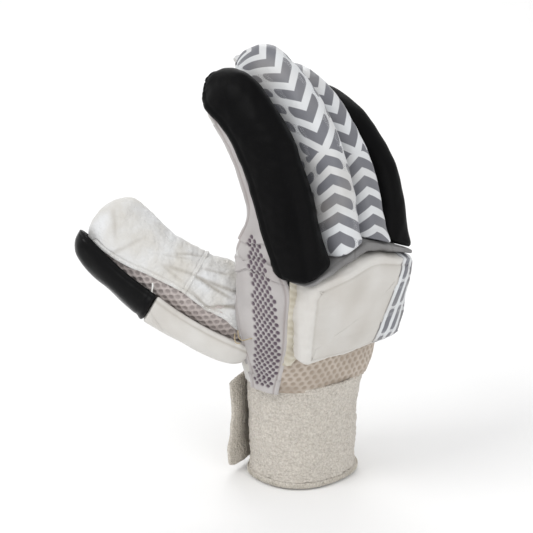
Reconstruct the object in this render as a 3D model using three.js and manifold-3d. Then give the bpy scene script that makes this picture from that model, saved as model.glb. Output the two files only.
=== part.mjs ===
// Right-hand cricket batting glove, shown worn: mm, origin at the centre of the wrist opening's rim,
// +Z towards the fingertips, +X out of the back of the hand, -Y the index and thumb side.
import * as THREE from "three";
import Module from "manifold-3d";
import { mergeVertices } from "three/addons/utils/BufferGeometryUtils.js";

const wasm = await Module();
wasm.setup();

// Driving dimensions
const GAP = 0.3; // clearance between neighbouring pieces
const LEATHER = 1.4; // sheepskin leather of palm, finger fronts and thumb
const MESH = 1.4; // spacer mesh of back, sides and finger backs
const TOWEL = 2.4; // towelling of the cuff

const CUFF_HEIGHT = 65;
const CUFF_HALF_WIDTH = 34.5; // along Y
const CUFF_HALF_DEPTH = 31; // along X
const CUFF_ROUND = 2.3; // superellipse exponent of the cuff's section
const HEM_HEIGHT = 3.4;
const HEM_THICK = 3.2;

const HAND_TOP = 140; // the fingers start here
const HAND_HALF_WIDTH = 50.5;
const HAND_HALF_DEPTH = 26;
const HAND_OFFSET = 10; // the hand's middle lies this far to the back of the cuff's middle
const HAND_ROUND = 3.2;

const FINGER_PITCH = 25; // between neighbouring finger planes
const FINGER_MIDDLE = 0.6; // the four fingers' common middle along Y
const STALL_HALF_WIDTH = 9.8;
const STALL_HALF_DEPTH = 13;
const STALL_SHARE = 0.95; // a stall ends at this share of its roll's length
const ROLL_HEIGHT = 32; // from the finger's axis to the roll's crest
const ROLL_SIDE = 2.6; // how much farther the outer flank of the index roll stands out

const PANEL_THICK = 14;
const PANEL_DOME = 5.5; // how far the panel's middle stands out past its rim
const PANEL_EDGE = 5; // rounding of the panel's rim
const PANEL_LEFT = -43.5;
const PANEL_RIGHT = 41;
const PANEL_TAPER = 6; // how much farther in its right edge lies at the bottom
const PANEL_FOOT_SHARE = 0.62; // its thickness at the bottom as a share of that at the shoulder
const PANEL_CORNER = 5;
const PANEL_BOTTOM = 90;
const PANEL_SHOULDER = 138;
const PANEL_APEX = 150.5;
const PRINT_SEAM_TOP = 26; // where the slanted seam crosses the panel's top and bottom, along Y
const PRINT_SEAM_FOOT = 7.5;
const BAR_RISE = 8; // height of the knuckle bar at its apex
const BAR_END_RISE = 3.4;
const BAR_DEPTH = 15;

const THUMB_WIDTH = 19; // half the thumb stall across the palm plane
const THUMB_DEPTH = 15.5; // half of it at right angles to that
const THUMB_PAD = 13.5; // thickness of the thumb's pads at the middle
const THUMB_SPLIT = 0.47; // share of the thumb's length where the two pads meet
const THUMB_ROOT = new THREE.Vector3(-17, -32, 107);
const THUMB_TIP = new THREE.Vector3(-94, -92, 163.5);
const THUMB_BOW = 5;

const STRAP_HEIGHT = 57;
const STRAP_FOOT = 3.5;
const STRAP_THICK = 3;
const STRAP_TAB = 17; // length of the free end that stands off the cuff
const STRAP_STANDOFF = 1.6; // how far the strap lies off the towelling that it presses on
const STRAP_FLARE = 2.5; // how much farther its free end lifts

// Small helpers
const V = (x, y, z) => new THREE.Vector3(x, y, z);
const rad = THREE.MathUtils.degToRad;
const lerp = THREE.MathUtils.lerp;
const smooth = THREE.MathUtils.smoothstep;

// Value of a named column at share s, by monotone blending between rows.
function read(rows, column, s) {
  const last = rows.length - 1;
  if (s <= rows[0].at) return rows[0][column];
  if (s >= rows[last].at) return rows[last][column];
  const i = rows.findIndex((r) => r.at > s);
  const a = rows[i - 1];
  const b = rows[i];
  const k = (s - a.at) / (b.at - a.at);
  return lerp(a[column], b[column], k * k * (3 - 2 * k) * 0.5 + k * 0.5);
}

// Closed triangle mesh: equal corners joined, empty triangles dropped, faces turned outwards.
function closed(points, faces) {
  const flat = new Float32Array(points.length * 3);
  points.forEach((p, i) => p.toArray(flat, i * 3));
  const raw = new THREE.BufferGeometry();
  raw.setAttribute("position", new THREE.BufferAttribute(flat, 3));
  raw.setIndex(faces.flat());
  const g = mergeVertices(raw, 1e-3);
  const idx = g.index.array;
  const pos = g.attributes.position.array;
  const kept = [];
  let volume = 0;
  for (let i = 0; i < idx.length; i += 3) {
    const [a, b, c] = [idx[i], idx[i + 1], idx[i + 2]];
    if (a === b || b === c || a === c) continue;
    kept.push(a, b, c);
    const p = V().fromArray(pos, a * 3);
    const q = V().fromArray(pos, b * 3);
    const r = V().fromArray(pos, c * 3);
    volume += p.dot(q.cross(r));
  }
  if (volume < 0) kept.reverse();
  g.setIndex(kept);
  return g;
}

// Solid between an outer and an inner grid of points (rows of equal length); `ring` joins each row's ends.
function shell(outer, inner, ring = false) {
  const rows = outer.length;
  const cols = outer[0].length;
  const points = [...outer.flat(), ...inner.flat()];
  const half = rows * cols;
  const at = (i, j, side) => side * half + i * cols + (j % cols);
  const faces = [];
  const quad = (a, b, c, d) => faces.push([a, b, c], [a, c, d]);
  const spans = ring ? cols : cols - 1;
  for (let i = 0; i < rows - 1; i += 1) {
    for (let j = 0; j < spans; j += 1) {
      quad(at(i, j, 0), at(i, j + 1, 0), at(i + 1, j + 1, 0), at(i + 1, j, 0));
      quad(at(i, j, 1), at(i + 1, j, 1), at(i + 1, j + 1, 1), at(i, j + 1, 1));
    }
  }
  for (let j = 0; j < spans; j += 1) {
    quad(at(0, j, 0), at(0, j, 1), at(0, j + 1, 1), at(0, j + 1, 0));
    quad(at(rows - 1, j, 0), at(rows - 1, j + 1, 0), at(rows - 1, j + 1, 1), at(rows - 1, j, 1));
  }
  if (!ring) {
    for (let i = 0; i < rows - 1; i += 1) {
      quad(at(i, 0, 0), at(i + 1, 0, 0), at(i + 1, 0, 1), at(i, 0, 1));
      quad(at(i, cols - 1, 0), at(i, cols - 1, 1), at(i + 1, cols - 1, 1), at(i + 1, cols - 1, 0));
    }
  }
  return closed(points, faces);
}

// Solid through closed rings, with a fan over each end.
function loft(rings) {
  const n = rings[0].length;
  const points = rings.flat();
  const faces = [];
  for (let i = 0; i < rings.length - 1; i += 1) {
    for (let j = 0; j < n; j += 1) {
      const k = (j + 1) % n;
      faces.push([i * n + j, i * n + k, (i + 1) * n + k], [i * n + j, (i + 1) * n + k, (i + 1) * n + j]);
    }
  }
  const cap = (row, turn) => {
    const middle = V(0, 0, 0);
    rings[row].forEach((p) => middle.addScaledVector(p, 1 / n));
    points.push(middle);
    const m = points.length - 1;
    for (let j = 0; j < n; j += 1) {
      const a = row * n + j;
      const b = row * n + ((j + 1) % n);
      faces.push(turn ? [m, b, a] : [m, a, b]);
    }
  };
  cap(0, true);
  cap(rings.length - 1, false);
  return closed(points, faces);
}

function solidOf(geometry) {
  const made = new wasm.Manifold(
    new wasm.Mesh({
      numProp: 3,
      vertProperties: geometry.attributes.position.array,
      triVerts: new Uint32Array(geometry.index.array),
    }),
  );
  return made;
}

function geometryOf(solid) {
  const m = solid.getMesh();
  const n = m.numProp;
  const flat = new Float32Array(m.numVert * 3);
  for (let i = 0; i < m.numVert; i += 1) flat.set(m.vertProperties.subarray(i * n, i * n + 3), i * 3);
  const g = new THREE.BufferGeometry();
  g.setAttribute("position", new THREE.BufferAttribute(flat, 3));
  g.setIndex([...m.triVerts]);
  return g;
}

// The first geometry with every later one taken away.
function without(geometry, ...cutters) {
  return geometryOf(cutters.reduce((left, c) => left.subtract(solidOf(c)), solidOf(geometry)));
}

const group = new THREE.Group();
group.name = "cricket_batting_glove";

function piece(name, geometry, finish) {
  const flat = geometry.toNonIndexed();
  flat.computeVertexNormals();
  const mesh = new THREE.Mesh(flat, new THREE.MeshStandardMaterial(finish));
  mesh.name = name;
  group.add(mesh);
  return mesh;
}

const TOWELLING = { color: 0xc2bdb6, roughness: 0.95, metalness: 0 };
const STRAP_CLOTH = { color: 0xb5b0a6, roughness: 0.95, metalness: 0 };
const SHEEPSKIN = { color: 0xe6e4de, roughness: 0.75, metalness: 0 };
const KNIT = { color: 0xb3aaa6, roughness: 0.9, metalness: 0 };
const AIR_MESH = { color: 0xa3968a, roughness: 0.9, metalness: 0 };
const BLACK_PU = { color: 0x0c0c10, roughness: 0.4, metalness: 0 };
const PRINT_PU = { color: 0xe4e8ea, roughness: 0.45, metalness: 0 };
const WHITE_PU = { color: 0xd9d7d1, roughness: 0.45, metalness: 0 };
const GREY_PU = { color: 0x7d7d79, roughness: 0.5, metalness: 0 };
const CREAM = { color: 0xcfc8b2, roughness: 0.85, metalness: 0 };

// Superellipse section
// Turn 0 points to +X (back), a quarter turn to -Y (index side), a half turn to -X (palm).
function oval(turn, halfWidth, halfDepth, round, middle, z) {
  const c = Math.cos(turn);
  const s = Math.sin(turn);
  const x = Math.sign(c) * Math.abs(c) ** (2 / round) * halfDepth;
  const y = -Math.sign(s) * Math.abs(s) ** (2 / round) * halfWidth;
  return V(middle + x, y, z);
}

// Cuff
// Shares of the cuff's height, width and depth; `lean` is a share of the depth.
const CUFF_ROWS = [
  { at: 0, width: 0.96, depth: 0.95, lean: 0.0 },
  { at: 0.14, width: 0.95, depth: 0.93, lean: 0.0 },
  { at: 0.32, width: 0.96, depth: 0.95, lean: -0.01 },
  { at: 0.5, width: 0.97, depth: 0.96, lean: -0.02 },
  { at: 0.68, width: 0.98, depth: 0.97, lean: 0.0 },
  { at: 0.85, width: 1.0, depth: 1.0, lean: 0.03 },
  { at: 1, width: 1.03, depth: 1.03, lean: 0.06 },
];
// Soft slanting dents of the towelling: turn and height of the middle, spans in degrees and shares,
// depth in mm.
const CUFF_DENTS = [
  { turn: 70, at: 0.62, span: 26, tall: 0.16, deep: 1.1, slant: 60 },
  { turn: 28, at: 0.4, span: 30, tall: 0.14, deep: 0.9, slant: -50 },
  { turn: 100, at: 0.25, span: 24, tall: 0.14, deep: 0.8, slant: 40 },
  { turn: 330, at: 0.7, span: 30, tall: 0.16, deep: 1.0, slant: 50 },
  { turn: 200, at: 0.5, span: 32, tall: 0.2, deep: 1.0, slant: -40 },
];
function dent(rows, turn, at) {
  let sum = 0;
  for (const d of rows) {
    const around = ((turn - d.turn - d.slant * (at - d.at) + 540) % 360) - 180;
    sum += d.deep * Math.exp(-((around / d.span) ** 2) - ((at - d.at) / d.tall) ** 2);
  }
  return sum;
}
function cuffPoint(turn, at, inset) {
  const sink = inset + dent(CUFF_DENTS, THREE.MathUtils.radToDeg(turn), at);
  return oval(
    turn,
    CUFF_HALF_WIDTH * read(CUFF_ROWS, "width", at) - sink,
    CUFF_HALF_DEPTH * read(CUFF_ROWS, "depth", at) - sink,
    CUFF_ROUND,
    CUFF_HALF_DEPTH * read(CUFF_ROWS, "lean", at),
    at * CUFF_HEIGHT,
  );
}
const span = (n) => Array.from({ length: n + 1 }, (_, i) => i / n);
const ringOf = (n, f) => Array.from({ length: n }, (_, j) => f((j / n) * 2 * Math.PI));

const CUFF_TURNS = 36;
const hemTop = HEM_HEIGHT / CUFF_HEIGHT;
const cuffFoot = (HEM_HEIGHT + GAP) / CUFF_HEIGHT;
const cuffLevels = span(7).map((k) => lerp(cuffFoot, 1, k));
piece(
  "cuff_band",
  shell(
    cuffLevels.map((at) => ringOf(CUFF_TURNS, (t) => cuffPoint(t, at, 0))),
    cuffLevels.map((at) => ringOf(CUFF_TURNS, (t) => cuffPoint(t, at, TOWEL))),
    true,
  ),
  TOWELLING,
);
const hemLevels = [0, 0.5, 1].map((k) => k * hemTop);
const hemSwell = [0, 0.5, 0];
piece(
  "cuff_hem",
  shell(
    hemLevels.map((at, i) => ringOf(CUFF_TURNS, (t) => cuffPoint(t, at, -0.4 - hemSwell[i]))),
    hemLevels.map((at, i) => ringOf(CUFF_TURNS, (t) => cuffPoint(t, at, HEM_THICK - 0.4 + hemSwell[i]))),
    true,
  ),
  TOWELLING,
);

// Hand
// Shares of the hand's width, depth and offset from the wrist to the knuckles; seams are turns in degrees:
// `indexBack` and `indexPalm` bound the side strip, `gather` the puckered strip beside the guard panel.
const HAND_ROWS = [
  { at: 0.0, width: 0.76, depth: 1.16, offset: 0.17, round: 2.4, indexBack: 62, indexPalm: 100, gather: 44 },
  { at: 0.16, width: 0.84, depth: 1.14, offset: 0.45, round: 2.6, indexBack: 58, indexPalm: 104, gather: 42 },
  { at: 0.42, width: 0.94, depth: 1.1, offset: 0.75, round: 3.1, indexBack: 53, indexPalm: 114, gather: 37 },
  { at: 0.7, width: 0.99, depth: 1.06, offset: 0.92, round: 3.7, indexBack: 50, indexPalm: 134, gather: 32 },
  { at: 0.86, width: 1.0, depth: 1.03, offset: 0.98, round: 4.2, indexBack: 48, indexPalm: 144, gather: 30 },
  { at: 1.0, width: 0.99, depth: 1.0, offset: 1.02, round: 4.6, indexBack: 48, indexPalm: 146, gather: 30 },
];
const HAND_FOOT = CUFF_HEIGHT + GAP;
function handPoint(turn, at, out) {
  const k = (a) => read(HAND_ROWS, a, at);
  return oval(
    turn,
    HAND_HALF_WIDTH * k("width") + out,
    HAND_HALF_DEPTH * k("depth") + out,
    k("round"),
    HAND_OFFSET * k("offset"),
    lerp(HAND_FOOT, HAND_TOP, at),
  );
}
// Half the clearance as a turn, so that neighbouring panels of the hand stay apart at their seam.
const SEAM = THREE.MathUtils.radToDeg(GAP / HAND_HALF_DEPTH);
function handPatch(levels, columns, from, to, out, thick) {
  const grid = (o) =>
    levels.map((at) =>
      columns.map((c) => handPoint(rad(lerp(from(at) + SEAM, to(at) - SEAM, c)), at, o)),
    );
  return shell(grid(out), grid(out - thick));
}
// The hand's whole outline as one solid, grown outwards by `grow`.
function handEnvelope(grow) {
  return loft([-0.02, ...span(8)].map((at) => ringOf(40, (t) => handPoint(t, Math.max(at, 0), grow))));
}
const handSeam = (column) => (at) => read(HAND_ROWS, column, at);
const littleBack = (at) => 360 - read(HAND_ROWS, "indexBack", at);
const littlePalm = (at) => 360 - read(HAND_ROWS, "indexPalm", at);
const handLevels = span(7);

// Fingers
// Each finger bends in its own plane of constant Y: `lean` and `curl` are degrees from upright, `base` the
// axis' start along X as a share of the hand's depth, `length` a share of the middle finger's, `side` the
// outer flank (-1 index, 1 little) `flank` a share of how far its roll stands out there and `foot`
// a share of the roll's height at its lower end.
const FINGER_LENGTH = 136;
const FINGERS = [
  { name: "index", place: -1.5, base: 0.45, lean: -2, curl: 60, length: 0.88, side: -1, flank: 1, foot: 1 },
  { name: "middle", place: -0.5, base: 0.5, lean: -15, curl: 88, length: 1.0, side: 0, flank: 0, foot: 1 },
  { name: "ring", place: 0.5, base: 0.52, lean: -9, curl: 82, length: 0.86, side: 0, flank: 0, foot: 1 },
  { name: "little", place: 1.5, base: 0.45, lean: -6, curl: 86, length: 0.72, side: 1, flank: 0, foot: 0.86 },
];
// The stall's section along the finger: shares of its half width (`width`) and half depth to the `back` and
// to the `palm`. The first rows tile the hand's oval, the rows after them the finger itself.
const STALL_ROWS = [
  { at: 0.0, wide: 1.0, back: 1.8, palm: 1.98, round: 4.5 },
  { at: 0.1, wide: 0.8, back: 1.45, palm: 1.9, round: 3.4 },
  { at: 0.22, wide: 0.1, back: 1.08, palm: 1.45, round: 2.5 },
  { at: 0.31, wide: 0.0, back: 1.09, palm: 1.03, round: 3.3 },
  { at: 0.55, wide: 0.0, back: 1.07, palm: 1.02, round: 3.3 },
  { at: 0.84, wide: 0.0, back: 1.0, palm: 0.98, round: 3.1 },
  { at: 1.0, wide: 0.0, back: 0.88, palm: 0.88, round: 2.4 },
];
// The roll's section: `crest` as a share of the roll's height, `chord` the height of its open side.
const ROLL_ROWS = [
  { at: 0.0, crest: 1.24, chord: 0.55, full: 0.62 },
  { at: 0.2, crest: 1.06, chord: 0.2, full: 0.66 },
  { at: 0.45, crest: 1.0, chord: 0.12, full: 0.72 },
  { at: 0.75, crest: 0.9, chord: 0.06, full: 0.78 },
  { at: 0.9, crest: 0.82, chord: -0.1, full: 0.84 },
  { at: 1.0, crest: 0.74, chord: -0.24, full: 0.9 },
];

// A point, its outward (back) direction and its share on a finger's axis.
function fingerFrame(f, s) {
  const y = FINGER_MIDDLE + f.place * FINGER_PITCH;
  const length = FINGER_LENGTH * f.length;
  const angle = (k) => rad(f.lean + f.curl * k);
  // exact arc: the direction turns evenly with the length
  const bend = rad(f.curl);
  const x = HAND_HALF_DEPTH * f.base - (length / bend) * (Math.cos(angle(0)) - Math.cos(angle(s)));
  const z = HAND_TOP + GAP + (length / bend) * (Math.sin(angle(s)) - Math.sin(angle(0)));
  const tilt = angle(s) * smooth(s, 0, 0.2);
  return {
    at: V(x, y, z),
    out: V(Math.cos(tilt), 0, Math.sin(tilt)),
    side: V(0, 1, 0),
  };
}
const place = (frame, b, n) => frame.at.clone().addScaledVector(frame.side, b).addScaledVector(frame.out, n);

const slab = FINGER_PITCH / 2 - GAP / 2; // half the room that each finger has along Y
// Shrink of the last rings towards the tip, from share `from` to 1.
function dome(s, from, least) {
  if (s <= from) return 1;
  const k = (s - from) / (1 - from);
  return Math.max(least, Math.sqrt(Math.max(0, 1 - k * k)));
}
// The stall's outline at share k of the stall, grown outwards by `grow`.
function stallPoint(f, k, turn, grow, least) {
  const s = k * STALL_SHARE;
  const frame = fingerFrame(f, s);
  const d = dome(k, 0.9, least);
  const wide = read(STALL_ROWS, "wide", k);
  const half = lerp(STALL_HALF_WIDTH, slab - 0.2, wide) * d + grow;
  const c = Math.cos(turn);
  const t = Math.sin(turn);
  const round = read(STALL_ROWS, "round", k);
  const depth = STALL_HALF_DEPTH * read(STALL_ROWS, c >= 0 ? "back" : "palm", k) * d + grow;
  return place(
    frame,
    -Math.sign(t) * Math.abs(t) ** (2 / round) * half,
    Math.sign(c) * Math.abs(c) ** (2 / round) * depth,
  );
}
const STALL_LEVELS = [0, 0.1, 0.2, 0.3, 0.46, 0.64, 0.82, 0.94, 0.985];
const STALL_SEAM = 80; // turn at which a stall's mesh back meets its leather front
function stallHalf(f, from, to, thick) {
  const turns = span(7).map((c) => rad(lerp(from, to, c)));
  const grid = (grow) => STALL_LEVELS.map((k) => turns.map((t) => stallPoint(f, k, t, grow, 0.2)));
  return shell(grid(0), grid(-thick));
}
function stallEnvelope(f, grow) {
  const levels = [-0.02, ...STALL_LEVELS.slice(1), 1];
  return loft(levels.map((k) => ringOf(20, (t) => stallPoint(f, Math.max(k, 0), t, grow, 0.05))));
}

// Roof line of the knuckle bar and of the guard panel at a given Y.
const ridge = (y, apex, shoulder, half) => apex - ((apex - shoulder) * (Math.hypot(y, 6) - 6)) / half;
const panelTop = (y) => ridge(y, PANEL_APEX, PANEL_SHOULDER, PANEL_RIGHT + 2);
const barTop = (y) => {
  const half = PANEL_RIGHT + 5;
  const rise = lerp(BAR_RISE, BAR_END_RISE, Math.min(1, Math.abs(y) / half));
  return panelTop(y) + rise;
};

const ROLL_LEVELS = [0, 0.17, 0.28, 0.4, 0.52, 0.64, 0.76, 0.86, 0.93, 0.975, 1];
function rollPoint(f, s, c) {
  const frame = fingerFrame(f, s);
  const d = dome(s, 0.8, 0.12);
  const crest = ROLL_HEIGHT * read(ROLL_ROWS, "crest", s) * lerp(f.foot, 1, smooth(s, 0, 0.4));
  const chord = ROLL_HEIGHT * read(ROLL_ROWS, "chord", s);
  const full = read(ROLL_ROWS, "full", s);
  const mid = lerp(chord, crest, 0.42);
  // c runs 0..1 over the rounded back from flank to flank
  const t = Math.PI * c;
  const b = Math.cos(t);
  const across = Math.sign(b) * Math.abs(b) ** full;
  const outer = Math.sign(across) === f.side ? ROLL_SIDE * f.flank : 0;
  const half = (slab + outer) * (0.35 + 0.65 * d);
  const up = Math.sin(t) ** full;
  const flat = lerp(chord, mid, 1 - d);
  const top = lerp(mid, crest, 0.25 + 0.75 * d);
  return place(frame, across * half, lerp(flat, top, up));
}
function rollBody(f) {
  const arc = span(14);
  const rings = ROLL_LEVELS.map((s) => arc.map((c) => rollPoint(f, s, c)));
  rings[0].forEach((p) => {
    p.z = barTop(p.y) + GAP;
  });
  return loft(rings);
}

for (const f of FINGERS) {
  const rollFinish = f.side === 0 ? PRINT_PU : BLACK_PU;
  piece(f.name + "_roll", without(rollBody(f), stallEnvelope(f, GAP)), rollFinish);
  piece(f.name + "_stall_back", stallHalf(f, -STALL_SEAM + 1, STALL_SEAM - 1, MESH), KNIT);
  piece(f.name + "_stall_front", stallHalf(f, STALL_SEAM + 1, 360 - STALL_SEAM - 1, LEATHER), SHEEPSKIN);
}

// Thumb
// Frame along the thumb: `side` points out of the palm plane, `out` to the thumb's padded back.
const PALM_PLANE = V(0.672, -0.672, 0.309);
function thumbFrame(s) {
  const along = THUMB_TIP.clone().sub(THUMB_ROOT);
  const tangent = along.clone().normalize();
  const side = PALM_PLANE.clone().addScaledVector(tangent, -PALM_PLANE.dot(tangent)).normalize();
  const out = V().crossVectors(tangent, side);
  if (out.z > 0) out.negate();
  const bow = THUMB_BOW * 4 * s * (1 - s);
  const at = THUMB_ROOT.clone().addScaledVector(along, s).addScaledVector(out, bow);
  return { at, out, side };
}
// `width` shares of the thumb's half width away from and to the pads, `depth` of its half depth.
const THUMB_ROWS = [
  { at: 0, away: 1.35, pads: 1.06, depth: 0.62 },
  { at: 0.15, away: 1.24, pads: 1.02, depth: 0.8 },
  { at: 0.34, away: 1.13, pads: 0.96, depth: 1.0 },
  { at: 0.52, away: 1.1, pads: 0.94, depth: 1.0 },
  { at: 0.66, away: 1.26, pads: 0.93, depth: 1.0 },
  { at: 0.78, away: 1.33, pads: 0.88, depth: 0.96 },
  { at: 0.9, away: 1.25, pads: 0.82, depth: 0.9 },
  { at: 1, away: 1.15, pads: 0.76, depth: 0.86 },
];
function thumbPoint(s, turn, grow, least) {
  const frame = thumbFrame(s);
  const d = dome(s, 0.8, least);
  const c = Math.cos(turn);
  const t = Math.sin(turn);
  const column = c >= 0 ? "away" : "pads";
  const half = THUMB_WIDTH * read(THUMB_ROWS, column, s) * d + grow;
  const deep = THUMB_DEPTH * read(THUMB_ROWS, "depth", s) * d + grow;
  return place(frame, Math.sign(t) * Math.abs(t) ** 0.9 * deep, -Math.sign(c) * Math.abs(c) ** 0.9 * half);
}
const THUMB_LEVELS = [0, 0.12, 0.24, 0.36, THUMB_SPLIT, 0.6, 0.72, 0.82, 0.9, 0.96, 1];
function thumbEnvelope(grow) {
  const rings = THUMB_LEVELS.map((s) => ringOf(22, (t) => thumbPoint(s, t, grow, 0.06)));
  return loft(rings);
}
function thumbPatch(levels, from, to, thick) {
  const turns = span(10).map((c) => rad(lerp(from, to, c)));
  const grid = (grow) => levels.map((s) => turns.map((t) => thumbPoint(s, t, grow, 0.06)));
  return shell(grid(0), grid(-thick));
}
const THUMB_SEAM = 118; // turn at which the thumb's leather meets its mesh
const rootLevels = THUMB_LEVELS.filter((s) => s < THUMB_SPLIT).concat(THUMB_SPLIT - 0.003);
const tipLevels = [THUMB_SPLIT, ...THUMB_LEVELS.filter((s) => s > THUMB_SPLIT)];
const handRoom = handEnvelope(-LEATHER);
piece(
  "thumb_root_leather",
  without(thumbPatch(rootLevels, -THUMB_SEAM, THUMB_SEAM, LEATHER), handRoom),
  SHEEPSKIN,
);
piece(
  "thumb_mesh",
  without(thumbPatch(rootLevels, THUMB_SEAM + 1.2, 360 - THUMB_SEAM - 1.2, MESH), handRoom),
  KNIT,
);
const tipGrid = (grow) => tipLevels.slice(0, -1).map((s) => ringOf(20, (t) => thumbPoint(s, t, grow, 0.06)));
piece("thumb_tip_leather", shell(tipGrid(0), tipGrid(-LEATHER), true), SHEEPSKIN);

// Pads along the thumb's back: `crest` a share of the stall's edge plus the pad, `chord` of its half width.
const THUMB_PAD_ROWS = [
  { at: -0.14, crest: 0.7, chord: 1.12, half: 0.6 },
  { at: -0.08, crest: 1.0, chord: 1.08, half: 0.85 },
  { at: 0.1, crest: 1.07, chord: 1.0, half: 1.0 },
  { at: 0.32, crest: 1.07, chord: 0.86, half: 1.1 },
  { at: 0.44, crest: 1.03, chord: 0.76, half: 1.12 },
  { at: 0.55, crest: 0.88, chord: 0.7, half: 1.1 },
  { at: 0.66, crest: 0.68, chord: 0.64, half: 1.08 },
  { at: 0.78, crest: 0.6, chord: 0.54, half: 1.04 },
  { at: 0.9, crest: 0.38, chord: 0.44, half: 0.95 },
  { at: 0.97, crest: 0.1, chord: 0.4, half: 0.75 },
];
function padPoint(s, c) {
  const frame = thumbFrame(s);
  const k = (a) => read(THUMB_PAD_ROWS, a, s);
  const t = Math.PI * c;
  const b = Math.sign(Math.cos(t)) * Math.abs(Math.cos(t)) ** 0.7;
  const chord = THUMB_WIDTH * k("chord");
  const crest = THUMB_WIDTH * read(THUMB_ROWS, "pads", Math.min(s, 1)) + THUMB_PAD * k("crest");
  return place(frame, b * THUMB_DEPTH * k("half"), lerp(chord, crest, Math.sin(t) ** 0.7));
}
function thumbPad(levels) {
  return without(loft(levels.map((s) => span(12).map((c) => padPoint(s, c)))), thumbEnvelope(GAP));
}
piece(
  "thumb_base_pad",
  without(thumbPad([-0.14, -0.11, -0.06, 0.05, 0.15, 0.26, 0.37, THUMB_SPLIT - 0.003]), handEnvelope(GAP)),
  WHITE_PU,
);
piece("thumb_tip_pad", thumbPad([THUMB_SPLIT, 0.58, 0.7, 0.8, 0.88, 0.94, 0.97]), BLACK_PU);

// The hand's panels
const backFoot = handSeam("gather");
piece(
  "palm_leather",
  without(
    handPatch(handLevels, span(12), handSeam("indexPalm"), littlePalm, 0, LEATHER),
    thumbEnvelope(GAP),
  ),
  SHEEPSKIN,
);
piece(
  "index_side_mesh",
  handPatch(handLevels, span(6), handSeam("indexBack"), handSeam("indexPalm"), 0, MESH),
  KNIT,
);
piece("little_side_mesh", handPatch(handLevels, span(6), littlePalm, littleBack, 0, MESH), KNIT);
piece(
  "panel_gather",
  handPatch(handLevels, span(2), backFoot, handSeam("indexBack"), 0, MESH),
  CREAM,
);
const backPatch = handPatch(handLevels, span(12), (at) => littleBack(at) - 360, backFoot, 0, MESH);
piece("back_air_mesh", backPatch, AIR_MESH);

// Guard panel and knuckle bar
const panelBack = HAND_OFFSET + HAND_HALF_DEPTH * 1.06 + GAP;
// Share of the way from the panel's foot up to its shoulder.
const panelShare = (z) => THREE.MathUtils.clamp((z - PANEL_BOTTOM) / (PANEL_SHOULDER - PANEL_BOTTOM), 0, 1);
// Closed outline of the panel, evenly walked, pulled inwards by `inset`.
function panelOutline(inset) {
  const l = PANEL_LEFT + inset;
  const b = PANEL_BOTTOM + inset;
  const corner = PANEL_CORNER;
  const right = (z) => PANEL_RIGHT - inset - PANEL_TAPER * (1 - panelShare(z));
  const r = right(b);
  const out = [];
  for (const k of span(8)) {
    const y = lerp(l + corner, r - corner, k);
    out.push([y, b]);
  }
  out.push([r - corner * 0.3, b + corner * 0.3]);
  const upper = PANEL_RIGHT - inset;
  for (const k of span(4)) {
    const z = lerp(b + corner, panelTop(upper) - inset - corner, k);
    out.push([right(z), z]);
  }
  out.push([upper - corner * 0.3, panelTop(upper) - inset - corner * 0.25]);
  for (const k of span(10)) {
    const y = lerp(upper - corner, l + corner, k);
    out.push([y, panelTop(y) - inset]);
  }
  out.push([l + corner * 0.3, panelTop(l) - inset - corner * 0.25]);
  for (const k of span(4)) {
    out.push([l, lerp(panelTop(l) - inset - corner, b + corner, k)]);
  }
  out.push([l + corner * 0.3, b + corner * 0.3]);
  return out;
}
function panelSolid() {
  const middleY = (PANEL_LEFT + PANEL_RIGHT) / 2;
  const middleZ = (PANEL_BOTTOM + PANEL_SHOULDER) / 2;
  const domeAt = (y) => PANEL_DOME * (1 - ((y - middleY) / (PANEL_RIGHT - middleY)) ** 2);
  const layers = [
    { inset: 1.5, rise: -0.5, dome: 0 },
    { inset: 0, rise: -0.3, dome: 0 },
    { inset: 0, rise: 0.7, dome: 0.5 },
    { inset: PANEL_EDGE * 0.3, rise: 0.9, dome: 0.9 },
    { inset: PANEL_EDGE, rise: 1, dome: 1 },
  ];
  const thin = (z) => lerp(PANEL_FOOT_SHARE, 1, smooth(panelShare(z), 0, 1));
  const xAt = (rise, dome, y, z) =>
    panelBack + PANEL_THICK * rise * (rise > 0 ? thin(z) : 1) + domeAt(y) * dome * thin(z);
  const rings = layers.map((k) =>
    panelOutline(k.inset).map(([y, z]) => V(xAt(k.rise, k.dome, y, z), y, z)),
  );
  const face = rings[rings.length - 1];
  for (const k of [0.55, 0.1]) {
    rings.push(
      face.map((p) => {
        const y = lerp(middleY, p.y, k);
        const z = lerp(middleZ, p.z, k);
        return V(xAt(1, 1, y, z), y, z);
      }),
    );
  }
  const fingers = FINGERS.map((f) => stallEnvelope(f, GAP));
  return without(loft(rings), handEnvelope(GAP), ...fingers);
}
// A slab beyond the slanted seam: everything on one side of it is taken away.
function seamCutter(shift, reach) {
  const foot = PANEL_BOTTOM - PANEL_THICK;
  const top = PANEL_APEX + PANEL_THICK;
  const slope = (PRINT_SEAM_TOP - PRINT_SEAM_FOOT) / (PANEL_SHOULDER - PANEL_BOTTOM);
  const yAt = (z) => PRINT_SEAM_FOOT + slope * (z - PANEL_BOTTOM) + shift;
  const ring = (x) => [
    V(x, yAt(foot), foot),
    V(x, yAt(foot) + reach, foot),
    V(x, yAt(top) + reach, top),
    V(x, yAt(top), top),
  ];
  return loft([ring(panelBack - 2 * PANEL_THICK), ring(panelBack + 3 * PANEL_THICK)]);
}
// A reach that clears the whole panel on either side of its seam.
const beyond = 2 * (PANEL_RIGHT - PANEL_LEFT);
piece("back_panel", without(panelSolid(), seamCutter(-GAP / 2, beyond)), WHITE_PU);
piece("back_panel_print", without(panelSolid(), seamCutter(GAP / 2, -beyond)), PRINT_PU);

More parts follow.
